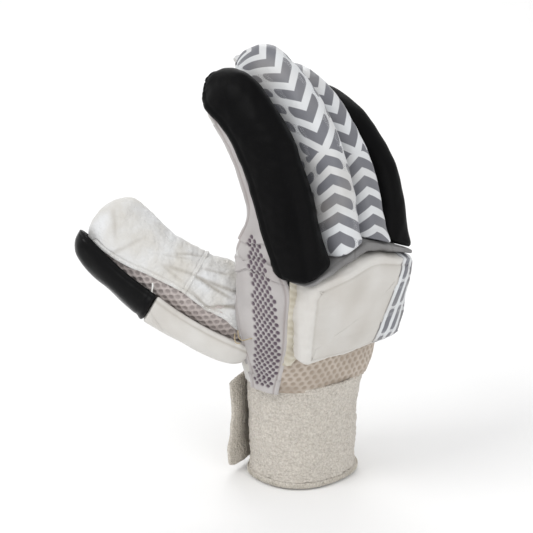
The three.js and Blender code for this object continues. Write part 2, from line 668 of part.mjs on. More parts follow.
const barSection = [
  { deep: -0.45, high: 0.25 },
  { deep: -0.45, high: 0.75 },
  { deep: 0.3, high: 1 },
  { deep: 0.75, high: 1 },
  { deep: 0.93, high: 0.86 },
  { deep: 1, high: 0.5 },
  { deep: 0.93, high: 0.14 },
  { deep: 0.75, high: 0 },
  { deep: 0.3, high: 0 },
];
function barSolid() {
  const left = PANEL_LEFT - 1;
  const right = PANEL_RIGHT + 3;
  const shares = [0, 0.02, 0.06, ...span(10).map((k) => lerp(0.12, 0.88, k)), 0.94, 0.98, 1];
  return loft(
    shares.map((k) => {
      const y = lerp(left, right, k);
      const end = Math.min(k, 1 - k) / 0.06;
      const swell = Math.sqrt(Math.min(1, 0.12 + end));
      const low = panelTop(y) + GAP;
      const high = barTop(y) - GAP;
      const mid = (low + high) / 2;
      const bulge = 1 - 0.18 * ((y - (left + right) / 2) / (right - left)) ** 2 * 4;
      return barSection.map((q) =>
        V(
          panelBack + BAR_DEPTH * bulge * (q.deep * (0.55 + 0.45 * swell)),
          y,
          lerp(mid, lerp(low, high, q.high), swell),
        ),
      );
    }),
  );
}
const stallRoom = FINGERS.map((f) => stallEnvelope(f, GAP));
piece("knuckle_bar", without(barSolid(), handEnvelope(GAP), ...stallRoom), GREY_PU);

// Closing strap
// It lies on the cuff's palm face from the little-finger side and its end stands off past the index side.
const STRAP_FROM = 262;
const STRAP_LIFT = 150;
function strapPath(k, out) {
  const level = (STRAP_FOOT + STRAP_HEIGHT / 2) / CUFF_HEIGHT;
  const hug = 0.78;
  const turn = rad(lerp(STRAP_FROM, STRAP_LIFT, Math.min(1, k / hug)));
  const at = cuffPoint(turn, level, 0);
  const before = cuffPoint(turn + 0.02, level, 0);
  const tangent = at.clone().sub(before).normalize();
  const away = V(-tangent.y, tangent.x, 0);
  if (away.dot(at) < 0) away.negate();
  const free = Math.max(0, (k - hug) / (1 - hug));
  return at
    .addScaledVector(away, GAP + STRAP_STANDOFF + out + STRAP_FLARE * free * free)
    .addScaledVector(tangent, STRAP_TAB * free);
}
const strapLevels = [0, 0.04, 0.2, 0.4, 0.6, 0.8, 0.96, 1];
const strapShares = [...span(10).map((k) => k * 0.78), 0.85, 0.92, 0.97, 1];
const strapGrid = (out) =>
  strapLevels.map((h) =>
    strapShares.map((k) => {
      const corner = k > 0.9 ? (k - 0.9) / 0.1 : 0;
      const squeeze = 1 - 0.07 * corner * corner;
      const p = strapPath(k, out);
      p.z = STRAP_FOOT + STRAP_HEIGHT * (0.5 + (h - 0.5) * squeeze);
      return p;
    }),
  );
piece("closure_strap", shell(strapGrid(STRAP_THICK), strapGrid(0)), STRAP_CLOTH);

export default group;
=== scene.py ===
"""Looks of a right-hand cricket batting glove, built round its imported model.

Lengths are millimetres in the part's own frame (origin at the wrist opening's rim, +Z to the fingertips,
+X out of the back of the hand, -Y the index and thumb side) and become metres as each mesh is made.
"""
import logging
import math
from dataclasses import dataclass, field
from enum import Enum
from typing import Callable, Sequence

import bmesh
import bpy
import numpy as np
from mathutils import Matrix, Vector


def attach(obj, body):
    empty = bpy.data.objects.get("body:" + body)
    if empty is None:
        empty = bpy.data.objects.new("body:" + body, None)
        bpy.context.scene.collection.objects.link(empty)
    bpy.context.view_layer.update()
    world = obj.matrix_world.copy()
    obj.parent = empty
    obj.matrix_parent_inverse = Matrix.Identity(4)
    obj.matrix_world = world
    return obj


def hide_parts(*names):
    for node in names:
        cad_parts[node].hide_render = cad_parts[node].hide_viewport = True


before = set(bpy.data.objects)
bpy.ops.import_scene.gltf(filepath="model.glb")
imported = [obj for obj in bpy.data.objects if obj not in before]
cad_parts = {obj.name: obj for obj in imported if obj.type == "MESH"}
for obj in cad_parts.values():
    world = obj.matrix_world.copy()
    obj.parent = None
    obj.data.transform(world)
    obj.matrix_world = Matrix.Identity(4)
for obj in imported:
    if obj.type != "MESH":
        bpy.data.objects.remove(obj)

Array = np.ndarray
Tree = bpy.types.NodeTree
Socket = bpy.types.NodeSocket
Table = dict[str, tuple[float, ...]]

MM = 0.001
log = logging.getLogger("glove")


# Numbers and shapes.


def blend(table: Table, column: str, share: Array) -> Array:
    """Reads a column of a table at any share, on a smooth curve through its rows.

    Formula: cubic Hermite between neighbouring rows, with each row's slope the mean of its two sides'.

    Args:
        table: columns of equal length, one of them "at", rising.
        column: name of the column that is read.
        share: where to read it, of any shape.

    Returns:
        The values, shaped as share.
    """
    at = np.asarray(table["at"], float)
    value = np.asarray(table[column], float)
    step = np.diff(at)
    rise = np.diff(value) / step
    slope = np.r_[rise[0], np.where(rise[1:] * rise[:-1] > 0, (rise[1:] + rise[:-1]) / 2, 0.0), rise[-1]]
    place = np.clip(np.asarray(share, float), at[0], at[-1])
    i = np.clip(np.searchsorted(at, place, side="right") - 1, 0, len(at) - 2)
    k = (place - at[i]) / step[i]
    k2, k3 = k * k, k * k * k
    return (
        value[i] * (2 * k3 - 3 * k2 + 1)
        + value[i + 1] * (3 * k2 - 2 * k3)
        + step[i] * (slope[i] * (k3 - 2 * k2 + k) + slope[i + 1] * (k3 - k2))
    )


def ease(low: float, high: float, value: Array) -> Array:
    """Runs smoothly from 0 at low to 1 at high: 3k^2 - 2k^3 of the clipped share."""
    k = np.clip((np.asarray(value, float) - low) / (high - low), 0.0, 1.0)
    return k * k * (3 - 2 * k)


def bell(offset: Array, width: float) -> Array:
    """A bell of height 1 round offset 0: exp(-(offset / width)^2)."""
    return np.exp(-((offset / width) ** 2))


def power(value: Array, exponent: Array | float) -> Array:
    """Raises the size of a value to an exponent and keeps its sign."""
    return np.sign(value) * np.abs(value) ** exponent


def stack(x: Array, y: Array, z: Array) -> Array:
    """Puts three coordinate arrays together as points."""
    return np.stack(np.broadcast_arrays(x, y, z), axis=-1)


def unit(vectors: Array) -> Array:
    """Divides each vector by its length."""
    return vectors / np.maximum(np.linalg.norm(vectors, axis=-1, keepdims=True), 1e-9)


def swell(points: Array, wave: float, seed: int, terms: int = 14) -> Array:
    """Soft unevenness of about -1 to 1 with hills roughly one wave across.

    Formula: a sum of cosines of the place along seeded directions, with wavelengths round the given one.

    Args:
        points: places in mm.
        wave: typical distance between hills in mm.
        seed: number of the pattern.
        terms: how many cosines are added.

    Returns:
        One value a point.
    """
    draw = np.random.RandomState(seed)
    way = unit(draw.normal(size=(terms, 3)))
    lengths = wave * draw.uniform(0.7, 1.6, terms)
    phase = draw.uniform(0, 2 * np.pi, terms)
    total = np.cos((points @ way.T) * (2 * np.pi / lengths) + phase).sum(axis=-1)
    return total / math.sqrt(terms)


def creases(u: Array, v: Array, rows: Sequence[tuple[float, float, float, float, float, float]]) -> Array:
    """Depth of straight folds on a surface.

    Formula: for each row (u, v, degrees, half length, half width, depth) the depth falls off as a bell
    across the line and as a flat-topped bell along it.

    Args:
        u: place across, mm.
        v: place along, mm.
        rows: the folds.

    Returns:
        Depth in mm, positive inwards.
    """
    total = np.zeros(np.broadcast(u, v).shape)
    for u0, v0, degrees, half, width, depth in rows:
        c, s = math.cos(math.radians(degrees)), math.sin(math.radians(degrees))
        along = (u - u0) * c + (v - v0) * s
        across = (v - v0) * c - (u - u0) * s
        total = total + depth * np.exp(-((across / width) ** 2) - (along / half) ** 4)
    return total


def normals_of(grid: Array, ring: bool = False) -> Array:
    """Outward directions of a grid: the cross product of the steps along its rows and round its columns."""
    along = np.gradient(grid, axis=0)
    if ring:
        around = np.roll(grid, -1, axis=1) - np.roll(grid, 1, axis=1)
    else:
        around = np.gradient(grid, axis=1)
    return unit(np.cross(along, around))


def arc_lengths(grid: Array, axis: int) -> Array:
    """Distance walked along one axis of a grid, from 0, in mm."""
    steps = np.linalg.norm(np.diff(grid, axis=axis), axis=-1)
    pad = [(0, 0), (0, 0)]
    pad[axis] = (1, 0)
    return np.pad(np.cumsum(steps, axis=axis), pad)


def walk(line: Array) -> Array:
    """Distance walked along a line of points, from 0, in mm."""
    return np.r_[0, np.cumsum(np.linalg.norm(np.diff(line, axis=0), axis=1))]


def spots_on(at: Array, walked: Array, line: Array) -> Array:
    """Points of a line at the given distances of its walk."""
    return np.stack([np.interp(at, walked, line[:, i]) for i in range(line.shape[1])], axis=-1)


def to_tip(low: float, start: float, straight: int, closing: int) -> Array:
    """Shares of a length as one column: even steps up to where a dome starts, then closer ones up to 1."""
    rise = np.sin(np.linspace(0, np.pi / 2, closing))
    return np.r_[np.linspace(low, start, straight)[:-1], start + (1 - start) * rise][:, None]


def evened(grid: Array, count: int) -> Array:
    """Walks each row of a grid again in even steps, so that its columns stand equally far apart."""
    walked = arc_lengths(grid, 1)
    share = np.linspace(0, 1, count)
    rows = [[np.interp(share * w[-1], w, row[:, i]) for i in range(3)] for row, w in zip(grid, walked)]
    return np.moveaxis(np.array(rows), 1, 2)


# Meshes.


def _quads(rows: int, cols: int, ring: bool) -> Array:
    """Corner numbers of the quads between neighbouring rows and columns of one grid, facing outwards."""
    i = np.arange(rows - 1)[:, None]
    j = np.arange(cols if ring else cols - 1)[None, :]
    k = (j + 1) % cols
    a, b, c, d = i * cols + j, (i + 1) * cols + j, (i + 1) * cols + k, i * cols + k
    return np.stack([a, b, c, d], axis=-1).reshape(-1, 4)


@dataclass
class Skin:
    """Corners, faces and per-corner values of one mesh, before it is put into Blender."""

    points: Array
    faces: list[Array]
    values: dict[str, Array] = field(default_factory=dict)

    def joined(self, others: Sequence["Skin"]) -> "Skin":
        """Puts this skin and the others into one, keeping the values that all of them have."""
        parts = [self, *others]
        starts = np.cumsum([0] + [len(p.points) for p in parts[:-1]])
        faces = [f + s for p, s in zip(parts, starts) for f in p.faces]
        names = [n for n in self.values if all(n in p.values for p in others)]
        values = {n: np.concatenate([p.values[n] for p in parts]) for n in names}
        return Skin(np.concatenate([p.points for p in parts]), faces, values)


def sheet_skin(
    outer: Array, inner: Array, ring: bool = False, values: dict[str, Array] | None = None
) -> Skin:
    """Closes the space between two grids: both faces, and rounded walls along the open borders.

    Formula: the wall's middle row is the mean of the two borders, pushed outwards by 0.35 of the thickness.

    Args:
        outer: outer grid of points, rows along and columns round.
        inner: inner grid of the same shape.
        ring: whether the columns close on themselves.
        values: per-corner values of the outer grid, one array of the grid's shape each.

    Returns:
        The closed skin.
    """
    rows, cols = outer.shape[:2]
    count = rows * cols
    points = [outer.reshape(-1, 3), inner.reshape(-1, 3)]
    front = _quads(rows, cols, ring)
    faces = [front, front[:, ::-1] + count]
    index = np.arange(count).reshape(rows, cols)
    extra = {n: [v.reshape(count, -1), v.reshape(count, -1)] for n, v in (values or {}).items()}
    start = 2 * count

    def wall(line: Array, away: Array, flip: bool) -> None:
        """Adds one border's wall, with a middle row that stands out along away."""
        nonlocal start
        out_line, in_line = outer.reshape(-1, 3)[line], inner.reshape(-1, 3)[line]
        thick = np.linalg.norm(out_line - in_line, axis=-1, keepdims=True)
        middle = (out_line + in_line) / 2 + unit(away) * thick * 0.35
        points.append(middle)
        for n, v in (values or {}).items():
            extra[n].append(v.reshape(count, -1)[line])
        mid = start + np.arange(len(line))
        start += len(line)
        follow = np.roll(np.arange(len(line)), -1) if ring else np.arange(1, len(line))
        first = np.arange(len(line)) if ring else np.arange(len(line) - 1)
        for a, b in ((line, mid), (mid, line + count)):
            quad = np.stack([a[first], a[follow], b[follow], b[first]], axis=-1)
            faces.append(quad[:, ::-1] if flip else quad)

    wall(index[0], outer[0] - outer[1], False)
    wall(index[-1], outer[-1] - outer[-2], True)
    if not ring:
        wall(index[:, 0], outer[:, 0] - outer[:, 1], True)
        wall(index[:, -1], outer[:, -1] - outer[:, -2], False)
        # the four corners: the two middle points, the outer and the inner corner
        offsets = np.cumsum([2 * count, cols, cols, rows])
        low, high, left, right = offsets
        for corner, mid_row, mid_col, flip in (
            (index[0, 0], low, left, True),
            (index[0, -1], low + cols - 1, right, False),
            (index[-1, 0], high, left + rows - 1, False),
            (index[-1, -1], high + cols - 1, right + rows - 1, True),
        ):
            quad = np.array([[corner, mid_row, corner + count, mid_col]])
            faces.append(quad[:, ::-1] if flip else quad)
    merged = {n: np.concatenate(v) for n, v in extra.items()}
    return Skin(np.concatenate(points), faces, merged)


def thick_sheet(
    outer: Array, thick: float, ring: bool = False, values: dict[str, Array] | None = None,
    lean: Array | None = None
) -> Skin:
    """A sheet of even thickness behind a grid: each inner point lies one thickness against the normal.

    Args:
        outer: the outer grid.
        thick: thickness in mm.
        ring: whether the columns close on themselves.
        values: per-corner values of the outer grid.
        lean: the grid whose normals are used, where the outer one is too rough.

    Returns:
        The closed skin.
    """
    return sheet_skin(
        outer, outer - normals_of(outer if lean is None else lean, ring) * thick, ring, values
    )


def tube_skin(path: Array, radius: Array | float, sides: int = 8) -> Skin:
    """A round cord along a path, its ends closed by a shrinking ring and a small cap.

    Formula: each ring lies in the plane at right angles to the path, on two directions carried from a fixed
    one, at the given radius; the end rings shrink to a third.

    Args:
        path: points of the middle line.
        radius: radius in mm, one value or one a point.
        sides: corners of a ring.

    Returns:
        The closed skin.
    """
    tangent = unit(np.gradient(path, axis=0))
    helper = np.where(np.abs(tangent[:, 2:]) > 0.9, np.array([[1.0, 0, 0]]), np.array([[0, 0, 1.0]]))
    across = unit(np.cross(tangent, helper))
    up = np.cross(across, tangent)
    turn = np.linspace(0, 2 * np.pi, sides, endpoint=False)
    size = np.broadcast_to(np.asarray(radius, float), (len(path),)).copy()
    size[[0, -1]] *= 0.35
    ring = across[:, None] * np.cos(turn)[None, :, None] + up[:, None] * np.sin(turn)[None, :, None]
    grid = path[:, None] + ring * size[:, None, None]
    body = _quads(len(path), sides, True)
    first = np.arange(sides)[None, :]
    last = first[:, ::-1] + (len(path) - 1) * sides
    return Skin(grid.reshape(-1, 3), [body[:, ::-1], first[:, ::-1], last[:, ::-1]])


def capped_skin(rings: Array, values: dict[str, Array] | None = None) -> Skin:
    """A solid through closed rings, each end closed by a fan round its middle point.

    Args:
        rings: rows of rings of points.
        values: per-corner values of the grid.

    Returns:
        The closed skin.
    """
    rows, cols = rings.shape[:2]
    count = rows * cols
    middles = rings[[0, -1]].mean(axis=1)
    around = np.arange(cols)
    follow = (around + 1) % cols
    start = np.stack([np.full(cols, count), around, follow], axis=-1)
    base = (rows - 1) * cols
    end = np.stack([np.full(cols, count + 1), base + follow, base + around], axis=-1)
    merged = {}
    for name, value in (values or {}).items():
        flat = value.reshape(count, -1)
        merged[name] = np.concatenate(
            [flat, flat[:cols].mean(axis=0)[None], flat[-cols:].mean(axis=0)[None]]
        )
    return Skin(
        np.concatenate([rings.reshape(-1, 3), middles]), [_quads(rows, cols, True), start, end], merged
    )


def piece(
    name: str, skin: Skin, finish: "Finish | None", replaced: Sequence[str] = (), slot: str = ""
) -> bpy.types.Object:
    """Makes a Blender object of a skin, dresses it and ties it to the frame.

    Args:
        name: the piece's name.
        skin: its corners (mm), faces and values.
        finish: its material.
        replaced: CAD nodes that it stands for.
        slot: not used.

    Returns:
        The object.
    """
    mesh = bpy.data.meshes.new(name)
    loops = np.concatenate([f.reshape(-1) for f in skin.faces]).astype(np.int32)
    sizes = np.concatenate([np.full(len(f), f.shape[1]) for f in skin.faces]).astype(np.int32)
    mesh.vertices.add(len(skin.points))
    mesh.vertices.foreach_set("co", (skin.points * MM).astype(np.float32).ravel())
    mesh.loops.add(len(loops))
    mesh.loops.foreach_set("vertex_index", loops)
    mesh.polygons.add(len(sizes))
    mesh.polygons.foreach_set("loop_start", np.r_[0, np.cumsum(sizes)[:-1]].astype(np.int32))
    mesh.polygons.foreach_set("use_smooth", np.ones(len(sizes), bool))
    mesh.update(calc_edges=True)
    for key, value in skin.values.items():
        wide = value.shape[1] == 3
        layer = mesh.attributes.new(key, "FLOAT_VECTOR" if wide else "FLOAT", "POINT")
        layer.data.foreach_set("vector" if wide else "value", value.astype(np.float32).ravel())
    mesh.validate()
    turned = bmesh.new()
    turned.from_mesh(mesh)
    bmesh.ops.recalc_face_normals(turned, faces=turned.faces[:])
    turned.to_mesh(mesh)
    turned.free()
    made = bpy.data.objects.new(name, mesh)
    bpy.context.collection.objects.link(made)
    if finish is not None:
        mesh.materials.append(finish.material())
    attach(made, "root")
    if replaced:
        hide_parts(*replaced)
    log.info("%s: %d corners, %d faces", name, len(skin.points), len(sizes))
    return made


def cloth(made: bpy.types.Object, surface: Array) -> None:
    """Logs a piece's flat size as a cloth sheet: that of its own outer surface.

    Formula: the flat width and length are the longest row and column; the area is the sum of the cells'.

    Args:
        made: the piece.
        surface: its outer grid, mm.
    """
    wide, long = float(arc_lengths(surface, 1)[:, -1].max()), float(arc_lengths(surface, 0)[-1].max())
    cells = np.cross(np.diff(surface, axis=0)[:, 1:], np.diff(surface, axis=1)[1:])
    area = min(float(np.linalg.norm(cells, axis=-1).sum()), wide * long)
    log.info("%s: cut %.0f x %.0f mm, %.0f square mm", made.name, wide, long, area)


# Finishes.


def linear(code: str) -> tuple[float, float, float, float]:
    """Turns an sRGB hex colour to linear red, green, blue and alpha."""
    raw = np.array([int(code[i : i + 2], 16) for i in (1, 3, 5)]) / 255
    return (*np.where(raw <= 0.04045, raw / 12.92, ((raw + 0.055) / 1.055) ** 2.4).tolist(), 1.0)


def add(tree: Tree, kind: str, settings: dict | None = None, **inputs: object) -> bpy.types.Node:
    """Adds one shader node.

    Args:
        tree: the node tree.
        kind: the node's class name without "ShaderNode".
        settings: properties of the node.
        **inputs: socket values or output sockets to link, by the socket's name with _ for a space, or as
            i0 and i1 by its place.

    Returns:
        The node.
    """
    made = tree.nodes.new("ShaderNode" + kind)
    for key, value in (settings or {}).items():
        setattr(made, key, value)
    for key, value in inputs.items():
        by_place = key[0] == "i" and key[1:].isdigit()
        socket = made.inputs[int(key[1:]) if by_place else key.replace("_", " ")]
        if isinstance(value, Socket):
            tree.links.new(value, socket)
        else:
            socket.default_value = value
    return made


class Relief(Enum):
    """Named kinds of fine relief."""

    PEBBLE = "pebbled grain of a tanned or embossed leather"
    LOOPS = "crowded loops of a towelling"
    FIBRE = "soft unevenness of spun fibre"
    WRINKLE = "long shallow wrinkles"


@dataclass(frozen=True)
class Bump:
    """One layer of fine relief.

    Attributes:
        kind: what the relief is.
        size: distance between its hills, mm.
        depth: height of a hill, mm.
    """

    kind: Relief
    size: float
    depth: float

    def height(self, tree: Tree, place: Socket) -> Socket:
        """Adds the texture whose value is this relief's height, about 0 to 1, at a place in metres."""
        scale = 1.0 / (self.size * MM)
        if self.kind is Relief.PEBBLE:
            cell = {"feature": "SMOOTH_F1"}
            return add(
                tree, "TexVoronoi", cell, Vector=place, Scale=scale, Smoothness=0.6
            ).outputs["Distance"]
        if self.kind is Relief.LOOPS:
            return add(
                tree, "TexVoronoi", {"feature": "F1"}, Vector=place, Scale=scale, Randomness=0.9
            ).outputs["Distance"]
        if self.kind is Relief.WRINKLE:
            warped = add(tree, "TexNoise", None, Vector=place, Scale=scale, Detail=3.0, Distortion=1.6)
            folded = add(tree, "Math", {"operation": "SUBTRACT"}, i0=warped.outputs[0], i1=0.5)
            return add(tree, "Math", {"operation": "ABSOLUTE"}, i0=folded.outputs[0]).outputs[0]
        return add(tree, "TexNoise", None, Vector=place, Scale=scale, Detail=4.0).outputs[0]


@dataclass(frozen=True)
class Finish:
    """A material: what it is, its colours and its fine relief.

    Attributes:
        name: the material's name.
        base: main colour, sRGB hex.
        shade: second colour that soft patches drift to.
        patch: size of those patches, mm.
        rough: roughness.
        sheen: strength of the cloth sheen.
        coat: weight of a clear coat.
        gloss: specular level.
        bumps: layers of relief.
        hollow: colour of the painted shade in the holes and pits that the "hole" value marks, if any.
        shade_and_tone: colour of painted shade in creases, seams and under parts, and of some tone, if any.
        printed: colour of the printed bars, if any.
    """

    name: str
    base: str
    shade: str
    patch: float
    rough: float
    sheen: float = 0.0
    coat: float = 0.0
    gloss: float = 0.5
    bumps: tuple[Bump, ...] = ()
    hollow: str = ""
    shade_and_tone: str = ""
    printed: str = ""

    def material(self) -> bpy.types.Material:
        """Makes the node material once and hands out the same one after that."""
        known = bpy.data.materials.get(self.name)
        if known is not None:
            return known
        made = bpy.data.materials.new(self.name)
        made.use_nodes = True
        tree = made.node_tree
        tree.nodes.clear()
        place = add(tree, "TexCoord").outputs["Object"]
        patches = add(tree, "TexNoise", None, Vector=place, Scale=1 / (self.patch * MM), Detail=3.0)
        spread = add(tree, "MapRange", None, Value=patches.outputs[0], From_Min=0.35, From_Max=0.68)
        colour = self._mix(tree, spread.outputs[0], linear(self.base), linear(self.shade))
        if self.printed:
            colour = self._mix(tree, herringbone(tree), colour, linear(self.printed))
        # painted shade in creases, seams and under other parts, mixed in by a per-corner value that also
        # holds some tone
        if self.shade_and_tone:
            shade_and_tone = add(tree, "Attribute", {"attribute_name": "shade_and_tone"}).outputs["Fac"]
            colour = self._mix(tree, shade_and_tone, colour, linear(self.shade_and_tone))
        # painted shade in the holes and pits
        if self.hollow:
            hole = add(tree, "Attribute", {"attribute_name": "hole"}).outputs["Fac"]
            colour = self._mix(tree, hole, colour, linear(self.hollow))
        shader = add(
            tree,
            "BsdfPrincipled",
            None,
            Base_Color=colour,
            Roughness=self.rough,
            Specular_IOR_Level=self.gloss,
            Sheen_Weight=self.sheen,
            Sheen_Roughness=0.5,
            Coat_Weight=self.coat,
            Coat_Roughness=0.18,
        )
        normal = None
        for bump in self.bumps:
            height = bump.height(tree, place)
            inputs = {"Height": height, "Strength": 1.0, "Distance": bump.depth * MM}
            if normal is not None:
                inputs["Normal"] = normal
            normal = add(tree, "Bump", None, **inputs).outputs["Normal"]
        if normal is not None:
            tree.links.new(normal, shader.inputs["Normal"])
        add(tree, "OutputMaterial", None, Surface=shader.outputs["BSDF"])
        return made

    @staticmethod
    def _mix(tree: Tree, share: Socket, first: object, second: object) -> Socket:
        """Adds a colour mix and hands back its result."""
        made = add(tree, "Mix", {"data_type": "RGBA"}, i0=share)
        for socket, value in ((made.inputs[6], first), (made.inputs[7], second)):
            if isinstance(value, Socket):
                tree.links.new(value, socket)
            else:
                socket.default_value = value
        return made.outputs[2]


# The print: spacing of its rows and slant of its bars, and what both gain past the turnover.
PRINT_ROW = 11.4
PRINT_ROW_ADDED = 3.0
PRINT_SLANT = 0.62
PRINT_STEEPER = 0.48
# Length along a bar for 1 mm across the roll, and what it gains past the turnover.
PRINT_STRETCH = 1.176
PRINT_STRETCH_ADDED = 0.31
# Turns a distance along the roll into one across the bar.
PRINT_COSINE = 0.85
# Length of a bar, of its break, where the break may start, and half the bar's thickness with its blur.
PRINT_BAR = 31.0
PRINT_BREAK = 8.4
PRINT_BREAK_FIRST = 6.0
PRINT_BREAK_RANGE = 15.0
PRINT_RADIUS = 2.75
PRINT_BLUR = 0.15
# Keeps the random draws past the turnover apart from those before it.
PRINT_UPPER_DRAW = 57.3


def herringbone(tree: Tree) -> Socket:
    """Adds the print's mask, 0 to 1: round-ended chevrons across a roll, that turn over part of the way up.

    Formula: u is the distance from the roll's middle line, v the distance along and m the place where the
    chevrons turn over. Rows lie PRINT_ROW apart on |v - m| - PRINT_SLANT |u|; past m they are wider apart
    and steeper. Along its length a bar is broken once in PRINT_BAR, at a random place. A point is inside
    where its distance to the bar's middle line is under PRINT_RADIUS.
    """

    def math_node(operation: str, first: object, second: object = 0.0, third: object = 0.0) -> Socket:
        """Adds one arithmetic step and hands back its result."""
        return add(tree, "Math", {"operation": operation}, i0=first, i1=second, i2=third).outputs[0]

    place = add(tree, "Attribute", {"attribute_name": "cloth"}).outputs["Vector"]
    split = add(tree, "SeparateXYZ", None, Vector=place)
    aside = math_node("ABSOLUTE", split.outputs[0])
    past = math_node("SUBTRACT", split.outputs[1], split.outputs[2])
    top = math_node("GREATER_THAN", past, 0.0)
    steep = math_node("MULTIPLY", aside, math_node("MULTIPLY_ADD", top, -PRINT_STEEPER, -PRINT_SLANT))
    row = math_node(
        "DIVIDE", math_node("ADD", steep, math_node("ABSOLUTE", past)),
        math_node("MULTIPLY_ADD", top, PRINT_ROW_ADDED, PRINT_ROW)
    )
    number = math_node("FLOOR", row)
    off_middle = math_node("SUBTRACT", math_node("SUBTRACT", row, number), 0.5)
    across = math_node("MULTIPLY", off_middle, PRINT_ROW * PRINT_COSINE)
    upper = math_node("MULTIPLY_ADD", top, PRINT_UPPER_DRAW, split.outputs[2])
    shift = add(
        tree, "TexWhiteNoise", {"noise_dimensions": "1D"}, W=math_node("ADD", number, upper)
    ).outputs["Value"]
    stretch = math_node("MULTIPLY_ADD", top, PRINT_STRETCH_ADDED, PRINT_STRETCH)
    run = math_node("MODULO", math_node("MULTIPLY", aside, stretch), PRINT_BAR)
    stop = math_node("MULTIPLY_ADD", shift, PRINT_BREAK_RANGE, PRINT_BREAK_FIRST)
    before = math_node("MAXIMUM", math_node("SUBTRACT", run, stop), 0.0)
    after = math_node("MAXIMUM", math_node("SUBTRACT", math_node("ADD", stop, PRINT_BREAK), run), 0.0)
    over = math_node("MINIMUM", before, after)
    far = math_node("SQRT", math_node("MULTIPLY_ADD", over, over, math_node("MULTIPLY", across, across)))
    edge = add(
        tree, "MapRange", None, Value=far, From_Min=PRINT_RADIUS + PRINT_BLUR,
        From_Max=PRINT_RADIUS - PRINT_BLUR
    )
    return edge.outputs[0]


# Terry towelling: cotton loops, uncut. Crowded loops scatter light, so it looks soft and a little shaded.
TOWELLING = Finish(
    "terry_towelling_looped_cotton", "#dad4cb", "#c0b9af", 1.3, 0.95, sheen=0.2, gloss=0.15,
    bumps=(Bump(Relief.LOOPS, 1.5, 1.0), Bump(Relief.FIBRE, 2.0, 0.5)),
)
# The strap is the same towelling pressed flat, so its relief is finer.
STRAP_TOWEL = Finish(
    "strap_towelling_pressed", "#dbd5cb", "#c4bdb2", 1.2, 0.95, sheen=0.2, gloss=0.15,
    bumps=(Bump(Relief.LOOPS, 1.3, 0.9), Bump(Relief.FIBRE, 2.0, 0.6)),
)
# Overlock thread: spun polyester, pale and matt.
OVERLOCK = Finish(
    "overlock_thread_spun", "#d9d4c9", "#c3bdb0", 4, 0.85, sheen=0.1,
    bumps=(Bump(Relief.FIBRE, 0.4, 0.1),)
)
# Chrome-tanned sheepskin, white: soft grain with fine wrinkles, and grey painted shade in its creases and
# seams.
SHEEPSKIN = Finish(
    "sheepskin_tanned_white", "#dfe0e1", "#cfccc6", 18, 0.6, sheen=0.08, gloss=0.35,
    bumps=(Bump(Relief.WRINKLE, 9.0, 0.5), Bump(Relief.PEBBLE, 1.3, 0.22)), shade_and_tone="#8f8678",
)
# Warp-knitted polyester with punched eyelets: matt thread, painted shade in the holes and in the seam
# grooves.
PERFORATED_KNIT = Finish(
    "perforated_knit_polyester", "#bdb9b8", "#aeaaa9", 22, 0.85, sheen=0.2, gloss=0.25,
    bumps=(Bump(Relief.FIBRE, 0.7, 0.12),), hollow="#655862", shade_and_tone="#a39896",
)
# Open hexagonal net over the thumb's side: pale thread with deep gaps, which hold a little painted shade.
HEX_NET = Finish(
    "hex_net_polyester", "#c9c0bd", "#bab1ad", 12, 0.8, sheen=0.15, gloss=0.3,
    bumps=(Bump(Relief.FIBRE, 0.6, 0.1),), hollow="#aea5a3",
)
# Spacer mesh: two knitted faces with pile between, tan; painted shade in its cells' pits and along its
# lower edge.
SPACER_MESH = Finish(
    "spacer_mesh_tan", "#c4b9ae", "#b3a79b", 16, 0.9, sheen=0.2, gloss=0.2,
    bumps=(Bump(Relief.FIBRE, 0.8, 0.15),), hollow="#a29587", shade_and_tone="#8f8173",
)
# Polyurethane-coated split leather, black: smooth film with a faint grain and a soft gloss.
BLACK_PU = Finish(
    "coated_leather_black", "#020203", "#050506", 30, 0.5, gloss=0.09,
    bumps=(Bump(Relief.PEBBLE, 0.9, 0.03), Bump(Relief.WRINKLE, 22.0, 0.3)),
)
# The thumb's black pad is a glossier film over soft foam.
BLACK_GLOSS = Finish(
    "coated_leather_black_gloss", "#020203", "#050506", 25, 0.34, coat=0.06, gloss=0.14,
    bumps=(Bump(Relief.WRINKLE, 13.0, 0.5),),
)
# White coated leather: warm drift, satin face, a darker tint on the panel's face; painted shade in grooves
# and seams.
WHITE_PU = Finish(
    "coated_leather_white", "#d6d4d0", "#cbc7c1", 30, 0.42, gloss=0.4,
    bumps=(Bump(Relief.PEBBLE, 0.9, 0.04), Bump(Relief.WRINKLE, 24.0, 0.12)), shade_and_tone="#a59d92",
)
# The same film, screen-printed with grey bars, with painted shade along the rolls' edges and in the panel's
# seams.
PRINTED_PU = Finish(
    "coated_leather_white_screen_printed", "#dcdfe2", "#d0d0d0", 35, 0.42, gloss=0.4,
    bumps=(
        Bump(Relief.PEBBLE, 0.9, 0.04), Bump(Relief.WRINKLE, 16.0, 0.3)
    ), shade_and_tone="#b5aea4", printed="#74757b",
)
# Grey coated leather of the welt: a dull film, with painted shade along its lip, in its folds and
# underneath.
GREY_PU = Finish(
    "coated_leather_grey", "#868585", "#767575", 14, 0.45, gloss=0.45,
    bumps=(Bump(Relief.PEBBLE, 0.9, 0.05), Bump(Relief.WRINKLE, 9.0, 0.3)), shade_and_tone="#55534f",
)
# Cream cotton lining, puckered by its elastic, with painted shade in the puckers' troughs.
CREAM_LINING = Finish(
    "cotton_lining_gathered", "#dcd8cc", "#cbc5b6", 8, 0.9, sheen=0.1, gloss=0.2,
    bumps=(Bump(Relief.FIBRE, 0.6, 0.12),), shade_and_tone="#a5997f",
)
# Bonded nylon sewing thread, cream: a slight twist gloss.
THREAD_CREAM = Finish("sewing_thread_cream", "#e2dfcd", "#cfcab4", 3, 0.6, gloss=0.4)
